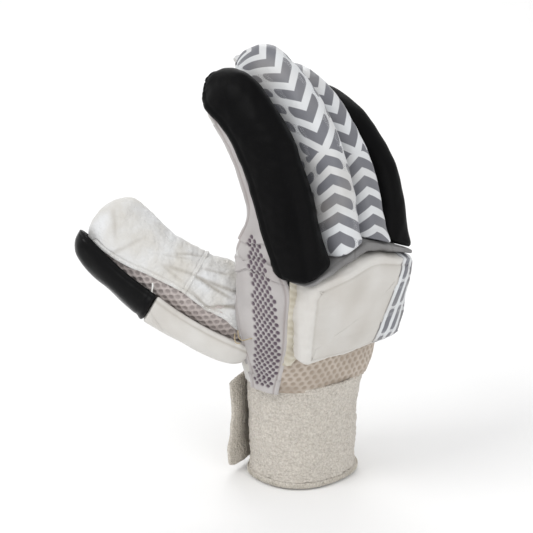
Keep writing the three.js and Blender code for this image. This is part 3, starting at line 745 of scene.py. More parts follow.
# The same thread in near white, and the beige of its loose ends.
THREAD_WHITE = Finish("sewing_thread_white", "#f0f0ee", "#dcdad4", 3, 0.6, gloss=0.4)
THREAD_BEIGE = Finish("sewing_thread_beige", "#b9a98c", "#a3926f", 3, 0.7, gloss=0.3)
# Backdrop paper, rolled and matt.
PAPER = Finish("backdrop_paper_white", "#fbfbfb", "#f8f8f8", 900, 0.9, gloss=0.1)


# The part's own sizes.

GAP = 0.3
# x of the hand's back under the guard panel and the knuckle bar.
BACK_X = 37.86
# Roof line of the guard panel: height at the middle, fall to the shoulders, half width and soft tip.
ROOF_TOP = 150.5
ROOF_FALL = 12.5
ROOF_HALF = 43.0
ROOF_TIP = 6.0
# Height of the knuckle bar over that roof at the middle, what it loses to its ends, and its half width.
BAR_HIGH = 8.0
BAR_LOSS = 4.6
BAR_HALF = 46.0

HAND_ROWS: Table = {
    "at": (0.0, 0.16, 0.42, 0.7, 0.86, 1.0),
    "width": (0.76, 0.84, 0.94, 0.99, 1.0, 0.99),
    "depth": (1.16, 1.14, 1.1, 1.06, 1.03, 1.0),
    "offset": (0.17, 0.45, 0.75, 0.92, 0.98, 1.02),
    "round": (2.4, 2.6, 3.1, 3.7, 4.2, 4.6),
    "back": (69, 64, 55, 51, 48, 48),
    "palm": (100, 104, 114, 134, 144, 146),
}
STALL_ROWS: Table = {
    "at": (0.0, 0.1, 0.22, 0.31, 0.55, 0.84, 1.0),
    "wide": (1.0, 0.8, 0.1, 0.0, 0.0, 0.0, 0.0),
    "back": (1.8, 1.45, 1.08, 1.06, 1.04, 0.97, 0.88),
    "palm": (1.98, 1.9, 1.45, 1.03, 1.02, 0.98, 0.88),
    "round": (4.5, 3.4, 2.5, 2.6, 2.6, 2.6, 2.3),
}
ROLL_ROWS: Table = {
    "at": (0.0, 0.2, 0.45, 0.75, 0.9, 1.0),
    "crest": (1.24, 1.06, 1.0, 0.9, 0.82, 0.74),
    "chord": (0.55, 0.2, 0.12, 0.06, -0.1, -0.24),
    "full": (0.62, 0.66, 0.72, 0.78, 0.84, 0.9),
}
CUFF_ROWS: Table = {
    "at": (0.0, 0.14, 0.32, 0.5, 0.68, 0.85, 1.0),
    "width": (0.96, 0.95, 0.96, 0.97, 0.98, 1.0, 1.03),
    "depth": (0.95, 0.93, 0.95, 0.96, 0.97, 1.0, 1.03),
    "lean": (0.0, 0.0, -0.01, -0.02, 0.0, 0.03, 0.06),
}
THUMB_ROWS: Table = {
    "at": (0.0, 0.15, 0.34, 0.52, 0.66, 0.78, 0.9, 1.0),
    "away": (1.35, 1.24, 1.13, 1.1, 1.26, 1.33, 1.25, 1.15),
    "pads": (1.06, 1.02, 0.96, 0.94, 0.93, 0.88, 0.82, 0.76),
    "depth": (0.62, 0.8, 1.0, 1.0, 1.0, 0.96, 0.9, 0.86),
}
PAD_ROWS: Table = {
    "at": (-0.14, -0.08, 0.1, 0.32, 0.44, 0.55, 0.66, 0.78, 0.9, 0.97),
    "crest": (0.7, 1.0, 1.07, 1.07, 1.03, 0.88, 0.7, 0.66, 0.52, 0.3),
    "chord": (1.12, 1.08, 1.0, 0.86, 0.76, 0.7, 0.64, 0.54, 0.44, 0.4),
    "half": (0.6, 0.85, 1.0, 1.1, 1.12, 1.1, 1.08, 1.04, 0.95, 0.75),
}
# Lower edge of the thumb's leather on the seen side, mm from its axis towards the pads.
THUMB_HEM: Table = {
    "at": (-0.1, 0.0, 0.08, 0.2, 0.28, 0.38, 0.46, 0.57, 0.68, 0.8, 0.92, 1.0),
    "low": (15.0, 12.5, 9.4, 8.3, 6.2, 4.8, 5.2, 6.4, 8.4, 9.0, 8.0, 6.0),
}


def oval(
    turn: Array, width: Array, depth: Array, roundness: Array, middle: Array | float, z: Array
) -> Array:
    """A superellipse: turn 0 points to +X, a quarter turn to -Y, a half turn to -X.

    Formula: x = middle + depth |cos|^(2/n), y = -width |sin|^(2/n), each with its sign.

    Args:
        turn: angle in radians.
        width: half width along Y.
        depth: half depth along X.
        roundness: the exponent n.
        middle: x of the section's middle.
        z: height.

    Returns:
        The points.
    """
    x = middle + power(np.cos(turn), 2 / roundness) * depth
    return stack(x, -power(np.sin(turn), 2 / roundness) * width, z)


def dome(share: Array, start: float, least: float) -> Array:
    """Shrinks to the tip: sqrt(1 - k^2) of the share past start, never under least."""
    k = np.clip((np.asarray(share, float) - start) / (1 - start), 0, 1)
    return np.maximum(np.sqrt(np.maximum(0.0, 1 - k * k)), least)


def lattice(u: Array, v: Array, across: float, along: float) -> tuple[Array, Array, Array]:
    """Nearest hole of a staggered pattern.

    Formula: two rectangular lattices of the same steps, the second moved by half a step each way; the
    nearer hole of the two counts.

    Args:
        u: place across, mm.
        v: place along, mm.
        across: step across.
        along: step along.

    Returns:
        The hole's u and v, and the distance to it.
    """
    cu, cv = np.round(u / across) * across, np.round(v / along) * along
    du, dv = (np.floor(u / across) + 0.5) * across, (np.floor(v / along) + 0.5) * along
    first, second = np.hypot(u - cu, v - cv), np.hypot(u - du, v - dv)
    near = first <= second
    return np.where(near, cu, du), np.where(near, cv, dv), np.where(near, first, second)


def panel_top(y: Array) -> Array:
    """Roof line of the guard panel: a gable with a soft tip, a fall of ROOF_FALL to each shoulder."""
    return ROOF_TOP - ROOF_FALL * (np.hypot(y, ROOF_TIP) - ROOF_TIP) / ROOF_HALF


def bar_top(y: Array) -> Array:
    """Roof line of the knuckle bar: the panel's roof plus BAR_HIGH at the middle, less at the ends."""
    return panel_top(y) + BAR_HIGH - BAR_LOSS * np.minimum(1, np.abs(y) / BAR_HALF)


def stitch_row(
    path: Array, up: Array, length: float, radius: float, step: float, slant: float = 0.0
) -> Skin:
    """A row of sewn stitches along a line.

    Formula: each stitch is a small closed capsule of 5 rings of 6 corners, its middle raised and its ends
    dipping into the cloth. With a slant it lies across the line, each leaning the other way from the last.

    Args:
        path: points of the line, mm.
        up: outward directions there.
        length: length of a stitch.
        radius: radius of the thread.
        step: distance between stitches.
        slant: half width of a zigzag, mm; 0 for a straight row.

    Returns:
        One skin with all the stitches.
    """
    walked = walk(path)
    at = np.arange(step / 2, walked[-1], step)
    spot = spots_on(at, walked, path)
    rise = unit(spots_on(at, walked, up))
    way = unit(spots_on(at, walked, np.gradient(path, axis=0)))
    aside = unit(np.cross(rise, way))
    if slant:
        sign = np.where(np.arange(len(at)) % 2 == 0, 1.0, -1.0)[:, None]
        way = unit(way * step + aside * sign * 2 * slant)
        length = float(np.hypot(step, 2 * slant)) * 1.04
        aside = unit(np.cross(rise, way))
    k = np.array([-1.0, -0.72, 0.0, 0.72, 1.0])
    wide = np.array([0.3, 0.85, 1.0, 0.85, 0.3]) * radius
    high = radius * np.array([-0.9, 0.15, 0.6, 0.15, -0.9])
    turn = np.arange(6) * np.pi / 3
    ring_a = wide[:, None] * np.cos(turn)[None]
    ring_b = high[:, None] + wide[:, None] * np.sin(turn)[None]
    along = np.broadcast_to((k * length / 2)[:, None], ring_a.shape)
    points = (
        spot[:, None, None]
        + way[:, None, None] * along[None, ..., None]
        + aside[:, None, None] * ring_a[None, ..., None]
        + rise[:, None, None] * ring_b[None, ..., None]
    )
    count = len(at)
    first = np.arange(6)[None, :]
    body = _quads(5, 6, True)
    starts = (np.arange(count) * 30)[:, None, None]
    return Skin(
        points.reshape(-1, 3),
        [
            (body[None] + starts).reshape(-1, 4), (first[None, :, ::-1] + starts).reshape(-1, 6),
            (first[None] + 24 + starts).reshape(-1, 6)
        ],
    )


# Cuff and strap.


@dataclass(frozen=True)
class Cuff:
    """The towelling cuff with its overlocked hem.

    Attributes:
        height: height of the band.
        width: half width along Y.
        depth: half depth along X.
        roundness: exponent of its section.
        towel: thickness of the towelling.
        hem: height of the hem.
    """

    height: float = 65.0
    width: float = 34.5
    depth: float = 31.0
    roundness: float = 2.3
    towel: float = 2.4
    hem: float = 3.4

    def point(self, turn: Array, at: Array, inset: Array | float = 0.0) -> Array:
        """The cuff's surface: a superellipse with soft slanting dents.

        Formula: each dent lowers the surface by depth times the bell of its turn and height offsets.

        Args:
            turn: angle in radians.
            at: share of the height.
            inset: how far inside the surface, mm.

        Returns:
            The points.
        """
        # turn in degrees, share of the height, width in degrees, height, depth in mm and slant in degrees
        rows = np.array([
            (70, 0.62, 26, 0.16, 1.1, 60), (28, 0.4, 30, 0.14, 0.9, -50), (100, 0.25, 24, 0.14, 0.8, 40),
            (330, 0.7, 30, 0.16, 1.0, 50), (200, 0.5, 32, 0.2, 1.0, -40),
        ])
        turn, at = np.broadcast_arrays(np.asarray(turn, float), np.asarray(at, float))
        turns, shares, wide, tall, deep, slant = rows.T
        up = at[..., None] - shares
        around = (np.degrees(turn)[..., None] - turns - slant * up + 540) % 360 - 180
        sink = inset + (deep * np.exp(-((around / wide) ** 2) - (up / tall) ** 2)).sum(-1)
        half_width = self.width * blend(CUFF_ROWS, "width", at) - sink
        half_depth = self.depth * blend(CUFF_ROWS, "depth", at) - sink
        middle = self.depth * blend(CUFF_ROWS, "lean", at)
        return oval(turn, half_width, half_depth, self.roundness, middle, at * self.height)

    def build(self) -> None:
        """Makes the band, the hem and its overlock stitches."""
        turn = np.linspace(0, 2 * np.pi, 300, endpoint=False)[None, :]
        at = np.linspace((self.hem + GAP) / self.height, 1.005, 130)[:, None]
        band = self.point(turn, at)
        normal = normals_of(band, True)
        band = band + normal * (
            0.5 * swell(band, 17, 3) + 0.28 * swell(band, 5, 5) + 0.2 * swell(band, 2.2, 7, 26)
        )[..., None]
        piece(
            "cuff_terry_band", thick_sheet(band, self.towel - 0.4, True, None, self.point(turn, at)),
            TOWELLING, ["cuff_band"], "towelling"
        )
        # the hem: the band's folded edge, a soft roll of 14 corners round
        arc = np.linspace(0, 2 * np.pi, 14, endpoint=False)[:, None]
        half_z, half_n, middle_n = self.hem / 2, 1.75, 0.7
        level = (half_z + half_z * power(np.sin(arc), 0.8)) / self.height
        out = middle_n - half_n * power(np.cos(arc), 0.8)
        hem = np.moveaxis(self.point(turn, np.clip(level, 0, 1), out), 0, 1)
        hem = hem + (0.12 * swell(hem, 6, 11))[..., None] * unit(hem - hem.mean(axis=1, keepdims=True))
        ring = Skin(hem.reshape(-1, 3), [_ring_quads(len(hem), 14)])
        piece("cuff_hem_roll", ring, TOWELLING, ["cuff_hem"], "towelling")
        edge = self.point(
            np.linspace(0, 2 * np.pi, 900)[:, None], np.full((1, 1), (self.hem * 0.5) / self.height),
            -1.25
        )[:, 0]
        outward = unit(edge * (1, 1, 0))
        piece("cuff_overlock", stitch_row(edge, outward, 2.0, 0.24, 1.15, 1.45), OVERLOCK)


def _ring_quads(rows: int, cols: int) -> Array:
    """Corner numbers of the quads of a torus: both the rows and the columns close on themselves."""
    i, j = np.arange(rows)[:, None], np.arange(cols)[None, :]
    m, k = (i + 1) % rows, (j + 1) % cols
    return np.stack([i * cols + j, m * cols + j, m * cols + k, i * cols + k], axis=-1).reshape(-1, 4)


@dataclass(frozen=True)
class Strap:
    """The towelling closing strap that hugs the palm side of the cuff and stands off past the index side.

    Attributes:
        height: width of the strap, along Z.
        foot: its lower edge.
        thick: its thickness.
        tab: length of its free end.
        start: turn in degrees where it is sewn to the cuff.
        lift: turn where it leaves the cuff.
        hug: share of its length that follows the cuff.
        standoff: how far it lies off the towelling that it presses on, mm.
        flare: how much farther its free end lifts, mm.
    """

    height: float = 57.0
    foot: float = 3.5
    thick: float = 3.0
    tab: float = 17.0
    start: float = 262.0
    lift: float = 150.0
    hug: float = 0.78
    standoff: float = 1.6
    flare: float = 2.5

    def middle(self, cuff: Cuff, k: Array, out: float) -> tuple[Array, Array]:
        """Middle line of the strap and its outward directions.

        Formula: it follows the cuff's section at mid height for most of its length, then leaves it along
        the tangent and lifts off by the flare times the square of the free share.

        Args:
            cuff: the cuff that it lies on.
            k: share of its length.
            out: distance from its inner face.

        Returns:
            The points and the directions.
        """
        level = (self.foot + self.height / 2) / cuff.height
        turn = np.radians(self.start + (self.lift - self.start) * np.minimum(1, k / self.hug))
        at = cuff.point(turn, np.full_like(turn, level))
        tangent = unit(at - cuff.point(turn + 0.02, np.full_like(turn, level)))
        away = stack(-tangent[..., 1], tangent[..., 0], 0 * k)
        away = away * np.sign((away * at).sum(-1, keepdims=True))
        free = np.maximum(0, (k - self.hug) / (1 - self.hug))[..., None]
        lifted = GAP + self.standoff + out + self.flare * free**2
        return at + away * lifted + tangent * self.tab * free, away

    def build(self, cuff: Cuff) -> None:
        """Makes the strap, which lies on the cuff, as one towelling sheet with rounded corners."""
        h = np.linspace(0, 1, 100)[:, None]
        k = np.linspace(0, 1, 190)[None, :]
        tail = np.maximum(0, (k - 0.9) / 0.1)
        squeeze = 1 - 0.07 * tail**2 - 0.03 * np.maximum(0, 1 - k / 0.03) ** 2
        middle, away = self.middle(cuff, k[0], self.thick)
        z = self.foot + self.height / 2 + (h - 0.5) * self.height * squeeze
        smooth = middle[None] * (1, 1, 0) + stack(0 * z, 0 * z, z)
        bend = (
            0.9 * np.sin(2.1 * np.pi * h + 0.6) * ease(0.7, 1, k)
            + 0.5 * np.cos(np.pi * h) * ease(0.6, 1, k)
        )
        terry = 0.3 * swell(smooth, 13, 21) + 0.12 * swell(smooth, 2.6, 22, 26)
        outer = smooth + away[None] * (bend + terry)[..., None]
        skin = thick_sheet(outer[:, ::-1], self.thick - 0.8, False, None, smooth[:, ::-1])
        made = piece("closure_strap_sheet", skin, STRAP_TOWEL, ["closure_strap"], "strap_towelling")
        length = float(arc_lengths(outer, 1)[len(outer) // 2, -1])


# Hand.


@dataclass(frozen=True)
class Hand:
    """The hand's shell between the cuff and the fingers.

    Attributes:
        foot: height of its lower edge.
        top: height where the fingers start.
        width: half width along Y.
        depth: half depth along X.
        offset: how far its middle lies to the back of the cuff's middle.
    """

    foot: float = 65.3
    top: float = 140.0
    width: float = 50.5
    depth: float = 26.0
    offset: float = 10.0

    def point(self, turn: Array, at: Array, out: Array | float = 0.0) -> Array:
        """The hand's outline: a superellipse whose size, middle and roundness follow HAND_ROWS.

        Args:
            turn: angle in radians.
            at: share of the height.
            out: distance outside the outline, mm.

        Returns:
            The points.
        """
        half_width = self.width * blend(HAND_ROWS, "width", at) + out
        half_depth = self.depth * blend(HAND_ROWS, "depth", at) + out
        middle = self.offset * blend(HAND_ROWS, "offset", at)
        z = self.foot + (self.top - self.foot) * np.asarray(at, float)
        return oval(turn, half_width, half_depth, blend(HAND_ROWS, "round", at), middle, z)

    def patch(
        self, rows: int, cols: int, start: Callable[[Array], Array], end: Callable[[Array], Array],
        low: float = -0.02, high: float = 1.0
    ) -> Array:
        """A grid of the hand's outline between two seams.

        Args:
            rows: rows from the wrist to the knuckles.
            cols: columns from the first seam to the second.
            start: turn of the first seam in degrees at a share of the height.
            end: turn of the second seam.
            low: share at which the grid starts.
            high: share at which it ends.

        Returns:
            The grid.
        """
        at = np.linspace(low, high, rows)[:, None]
        c = np.linspace(0, 1, 6 * cols)[None, :]
        return evened(self.point(np.radians(start(at) * (1 - c) + end(at) * c), at), cols)

    def build(self) -> None:
        """Makes the palm, the gathered strip and the back mesh."""
        palm = self.patch(
            90, 150, lambda at: blend(HAND_ROWS, "palm", at),
            lambda at: 360 - blend(HAND_ROWS, "palm", at), -0.02, 1.022
        )
        normal = normals_of(palm)
        u = arc_lengths(palm, 1)
        v = palm[..., 2]
        folds = creases(
            u, v,
            [
                (60, 108, 20, 30, 2.4, 1.0), (52, 92, -35, 22, 2.0, 0.8), (66, 124, 6, 32, 2.6, 1.1),
                (40, 80, -50, 16, 1.8, 0.6)
            ]
        )
        palm = palm + normal * (0.5 * swell(palm, 16, 31) + 0.2 * swell(palm, 5, 32) - folds)[..., None]
        # painted shade: darker in the palm's creases, over an even tint and some random tone
        shade_and_tone = np.clip(0.08 + 0.14 * folds + 0.08 * swell(palm, 30, 33), 0, 1)
        piece(
            "palm_sheepskin", thick_sheet(palm, 1.3, False, {"shade_and_tone": shade_and_tone}), SHEEPSKIN,
            ["palm_leather"], "sheepskin"
        )
        self._gather()
        self._back_mesh()

    def _gather(self) -> None:
        """Makes the cream strip that elastic puckers, from the wrist up beside the guard panel."""
        strip = self.patch(
            220, 26, lambda at: blend(HAND_ROWS, "back", at) - 20 * ease(0.2, 0.5, at) - 5,
            lambda at: blend(HAND_ROWS, "back", at) + 1.0, 0.26
        )
        normal = normals_of(strip)
        u, v = arc_lengths(strip, 1), strip[..., 2]
        across = u / u[:, -1:]
        wave = np.sin(2 * np.pi * v / 4.3 + 1.5 * np.sin(across * 4) + 1.2 * swell(strip, 12, 41))
        tight = 0.35 + 0.65 * (1 - ease(72, 96, v))
        strip = strip + normal * (
            0.9 + 0.6 * tight * wave * np.sin(np.pi * np.clip(across, 0, 1)) ** 0.6
        )[..., None]
        # painted shade: darker in the puckers' troughs and lighter on their crests, over an even tint
        shade_and_tone = np.clip(0.32 - 0.4 * wave * tight, 0, 1) * 0.8
        made = piece(
            "gathered_lining_strip", thick_sheet(strip, 1.2, False, {"shade_and_tone": shade_and_tone}), CREAM_LINING,
            ["panel_gather"], "cream_gather"
        )
        cloth(made, strip)

    def _back_mesh(self) -> None:
        """Makes the spacer mesh over the back of the hand; its cells are soft staggered pits."""
        mesh = self.patch(
            170, 250, lambda at: -blend(HAND_ROWS, "back", at),
            lambda at: blend(HAND_ROWS, "back", at) - 0.4
        )
        normal = normals_of(mesh)
        u, v = arc_lengths(mesh, 1), arc_lengths(mesh, 0)
        u = u - u[:, u.shape[1] // 2][:, None]
        _, _, far = lattice(u, v, 5.0, 7.2)
        pit = 1 - ease(0.8, 2.2, far)
        soft = 0.3 * swell(mesh, 12, 51) + 1.8 * bell(mesh[..., 2] - 69, 7) * ease(-10, 25, mesh[..., 1])
        mesh = mesh + normal * (soft - 0.5 * pit)[..., None]
        # painted shade in the pits through the hole value, and along the lower edge over the cuff, with
        # some random tone
        values = {
            "hole": pit,
            "shade_and_tone": np.clip(0.25 * (1 - ease(66, 72, mesh[..., 2])) + 0.12 * swell(mesh, 15, 52), 0, 1)
        }
        made = piece(
            "back_spacer_mesh", thick_sheet(mesh, 1.4, False, values), SPACER_MESH, ["back_air_mesh"],
            "air_mesh"
        )
        cloth(made, mesh)


# Fingers.


@dataclass(frozen=True)
class Finger:
    """One finger: a knitted and leather stall under a padded roll, bent in a plane of constant Y.

    Attributes:
        name: the finger.
        place: its place among the four, in pitches from the middle.
        base: where its axis starts along X, a share of the hand's depth.
        lean: angle of its axis at the knuckle, degrees.
        curl: how far it turns along its length, degrees.
        share: its length as a share of the middle finger's.
        side: -1 or 1 for an outer finger's free side, else 0.
        flank: how far its roll stands out on that side, a share of 2.6 mm.
        foot: height of its roll at the knuckle, a share.
        trim: how far its roll's tip draws in, mm.
        turned: how far the print's middle line lies off the crest to the index side, mm.
    """

    name: str
    place: float
    base: float
    lean: float
    curl: float
    share: float
    side: int
    flank: float
    foot: float
    trim: float
    turned: float = 0.0

    LENGTH = 136.0
    PITCH = 25.0
    HEIGHT = 32.0
    SLAB = 12.35
    # Depth of the hand that base is a share of, height of the knuckles, and y of the middle of the four.
    DEPTH = 26.0
    KNUCKLES = 140.3
    MIDDLE = 0.6
    # The stall: half width, half depth, its share of the finger's length, and where its dome starts.
    HALF = 9.8
    DEEP = 13.0
    REACH = 0.95
    DOME = 0.9
    # The roll: how far an outer flank may stand out, and the share up to which it runs down to the bar.
    FLANK = 2.6
    MEET = 0.17
    # The print: the share where its chevrons turn over, and the step that keeps the rolls' draws apart.
    TURNOVER = 0.37
    DRAWS_APART = 229.4

    def put(self, s: Array, b: Array, n: Array) -> Array:
        """A point beside the finger's axis.

        Formula: the axis is a circle's arc whose direction turns evenly from lean to lean + curl; n is laid
        off along the arc's normal, which points to +X at the knuckle and follows the arc from a fifth on.

        Args:
            s: share of the finger's length.
            b: distance along Y.
            n: distance to the back.

        Returns:
            The points.
        """
        angle = np.radians(self.lean + self.curl * s)
        first, bend = math.radians(self.lean), math.radians(self.curl)
        radius = self.LENGTH * self.share / bend
        x = self.DEPTH * self.base - radius * (math.cos(first) - np.cos(angle))
        z = self.KNUCKLES + radius * (np.sin(angle) - math.sin(first))
        tilt = angle * ease(0, 0.2, s)
        y = self.MIDDLE + self.place * self.PITCH + b
        return stack(x + np.cos(tilt) * n, y, z + np.sin(tilt) * n)

    def stall(self, k: Array, turn: Array, grow: Array | float = 0.0, least: float = 0.05) -> Array:
        """The stall's outline: a superellipse along the axis that closes in a dome.

        Args:
            k: share of the stall's length.
            turn: angle in radians, 0 at the back and a quarter turn at -Y.
            grow: distance outside it, mm.
            least: least size of the dome's last ring, a share.

        Returns:
            The points.
        """
        d = dome(k, self.DOME, least)
        wide = blend(STALL_ROWS, "wide", k)
        half = (self.HALF + (self.SLAB - 0.2 - self.HALF) * wide) * d + grow
        c, t = np.cos(turn), np.sin(turn)
        deep = np.where(c >= 0, blend(STALL_ROWS, "back", k), blend(STALL_ROWS, "palm", k))
        flat = 2 / blend(STALL_ROWS, "round", k)
        across, up = -power(t, flat) * half, power(c, flat) * (self.DEEP * deep * d + grow)
        return self.put(k * self.REACH, across, up)

    def _section(self, s: Array) -> tuple[Array, Array, Array, Array]:
        """Half width to +Y and to -Y, flat side's height and crest's height of the roll at a share."""
        d = dome(s, 0.8, 0.12)
        crest = self.HEIGHT * blend(ROLL_ROWS, "crest", s) * (self.foot + (1 - self.foot) * ease(0, 0.4, s))
        chord = self.HEIGHT * blend(ROLL_ROWS, "chord", s)
        middle = chord + (crest - chord) * 0.42
        outer = self.FLANK * self.flank
        right = (self.SLAB + (outer if self.side > 0 else 0)) * (0.35 + 0.65 * d)
        left = (self.SLAB + (outer if self.side < 0 else 0)) * (0.35 + 0.65 * d)
        return right, left, middle + (chord - middle) * d, middle + (crest - middle) * (0.25 + 0.75 * d)

    def roll(self, s: Array, c: Array) -> Array:
        """The roll's rounded back: a superellipse arc from the +Y flank over the crest to the -Y flank."""
        right, left, flat, top = self._section(s)
        full = blend(ROLL_ROWS, "full", s)
        b = power(np.cos(np.pi * c), full)
        return self.put(
            s, b * np.where(b > 0, right, left), flat + (top - flat) * np.abs(np.sin(np.pi * c)) ** full
        )

    def under(self, s: Array, e: Array) -> Array:
        """The roll's hollow side along the stall, from the -Y flank back to the +Y flank."""
        _, _, flat, _ = self._section(s)
        k = np.minimum(s / self.REACH, 1)
        deep = np.where(flat > 0, blend(STALL_ROWS, "back", k), blend(STALL_ROWS, "palm", k))
        depth = self.DEEP * deep * dome(k, self.DOME, 0.05) + GAP
        share = np.clip(flat / depth, -0.92, 0.92)
        widest = np.arccos(power(share, blend(STALL_ROWS, "round", k) / 2))
        return self.stall(k, widest * (1 - 2 * e), GAP)

    def build_roll(self, finish: Finish, slot: str) -> None:
        """Makes the padded roll: leather over foam, puckered at its edges, with a rounded foot and tip."""
        s = np.concatenate([[[0.0], [0.006], [0.014], [0.026]], to_tip(0.04, 0.8, 150, 44)])
        c, e = np.linspace(0, 1, 110)[None, :], np.linspace(0, 1, 30)[None, :]
        back = c.shape[1]
        grid = np.concatenate([self.roll(s, c), self.under(s, e)], axis=1)
        # below MEET the section runs straight down to the roof of the knuckle bar
        cut = np.full((1, 1), self.MEET)
        ring = np.concatenate([self.roll(cut, c), self.under(cut, e)], axis=1)
        roof = np.concatenate([self.roll(np.zeros((1, 1)), c), self.under(cut, e)], axis=1)
        roof[..., 2] = bar_top(roof[..., 1]) + GAP
        low = np.clip(s / self.MEET, 0, 1)[..., None]
        grid = np.where(s[..., None] < self.MEET, roof * (1 - low) + ring * low, grid)
        outer = grid[:, :back]
        normal = normals_of(outer)
        v = arc_lengths(outer, 0)[:, back // 2][:, None]
        u = arc_lengths(outer, 1)
        total = u[:, -1:]
        edge = np.minimum(u, total - u)
        pucker = np.sin(2 * np.pi * v / 17 + 2.2 * swell(outer, 24, 60 + self.side)) * bell(edge, 5)
        # the ridge along the crest is higher and narrower on the index finger
        high, wide = (1.7, 0.055) if self.side < 0 else (0.8, 0.09)
        ridge = high * bell(u / total - 0.5, wide) * ease(0.03, 0.2, s) * (1 - ease(0.84, 0.99, s))
        pinch = 0.12 * np.sin(u * 2 * np.pi / 9 + 1.4 * swell(outer, 14, 66)) * bell(edge, 9)
        gather = ease(0.86, 0.98, s) * (pinch - self.trim)
        seed = 70 + int(self.place * 2)
        uneven = 0.35 * swell(outer, 26, seed) + 0.12 * swell(outer, 9, seed + 1)
        shift = uneven + 0.14 * pucker + ridge + gather
        welt = 0.4 * bell(edge - 2.2, 0.9) - 0.28 * bell(edge - 4.3, 0.8)
        grid[:, :back] = outer + normal * (shift + welt)[..., None]
        # rounded foot and tip: the first rings draw in, and more rings close the end as a quarter round
        heart = grid.mean(axis=1, keepdims=True)
        tuck = 1 - 0.14 * np.clip(1 - s / 0.026, 0, 1)[..., None] ** 2
        grid = heart + (grid - heart) * tuck
        theta = np.linspace(0, np.pi / 2, 9)[1:-1][:, None, None]
        onward = unit(grid[-1].mean(axis=0) - grid[-4].mean(axis=0))
        cap = heart[-1] + (grid[-1] - heart[-1])[None] * np.cos(theta) + onward * 2.6 * np.sin(theta)
        whole = np.concatenate([grid, cap])
        # the print's place: distance off its middle line, distance along, and where it turns over
        rows = len(grid)
        printing = np.zeros((*whole.shape[:2], 3))
        printing[:rows, :back, 0] = u - total / 2 - self.turned
        printing[:rows, back:, 0] = np.where(e < 0.5, total / 2, -total / 2)
        start = self.DRAWS_APART * (self.place + 2)
        printing[:rows, :, 1] = v + start
        printing[..., 2] = start + self.TURNOVER * v.max()
        printing[rows:, :, :2] = printing[rows - 1, :, :2]
        shade_and_tone = np.zeros(whole.shape[:2])
        # painted shade along the roll's edges where it turns under to the stall, with some random tone
        shade_and_tone[:rows, :back] = np.clip(0.6 * bell(edge, 2.0) + 0.12 * swell(outer, 30, seed + 5), 0, 1)
        made = piece(
            f"{self.name}_padded_roll", capped_skin(whole, {"cloth": printing, "shade_and_tone": shade_and_tone}), finish,
            [f"{self.name}_roll"], slot
        )

    def build_front(self, first: float, last: float) -> None:
        """Makes the stall's leather front between two turns in degrees, wrinkled where the finger bends."""
        k = to_tip(0.0, 0.9, 90, 18)
        turn = np.radians(np.linspace(first, last, 70))[None, :]
        grid = self.stall(k, turn)
        normal = normals_of(grid)
        v, u = arc_lengths(grid, 0), arc_lengths(grid, 1)
        bends = sum(0.9 * bell(v - share * v.max(), 1.5) for share in (0.2, 0.27, 0.5, 0.55, 0.76))
        wrinkled = 0.25 * swell(grid, 10, 90 + self.side) - bends * np.sin(np.pi * u / u.max())
        grid = grid + normal * wrinkled[..., None]
        # painted shade in the bends' wrinkles, over an even tint
        shade_and_tone = np.clip(0.15 + 0.3 * bends, 0, 1)
        name = f"{self.name}_stall_front"
        piece(
            name + "_leather", thick_sheet(grid, 1.3, False, {"shade_and_tone": shade_and_tone}), SHEEPSKIN, [name],
            "sheepskin"
        )

    def build_back(self) -> None:
        """Makes the knitted back of an inner finger's stall, which its roll covers."""
        k = to_tip(0.0, 0.9, 70, 12)
        grid = self.stall(k, np.radians(np.linspace(-79, 79, 40))[None, :], -0.1)
        name = f"{self.name}_stall_back"
        hole = np.zeros(grid.shape[:2])
        piece(
            name + "_knit", thick_sheet(grid, 1.2, False, {"hole": hole, "shade_and_tone": hole}),
            PERFORATED_KNIT, [name], "perforated_knit"
        )


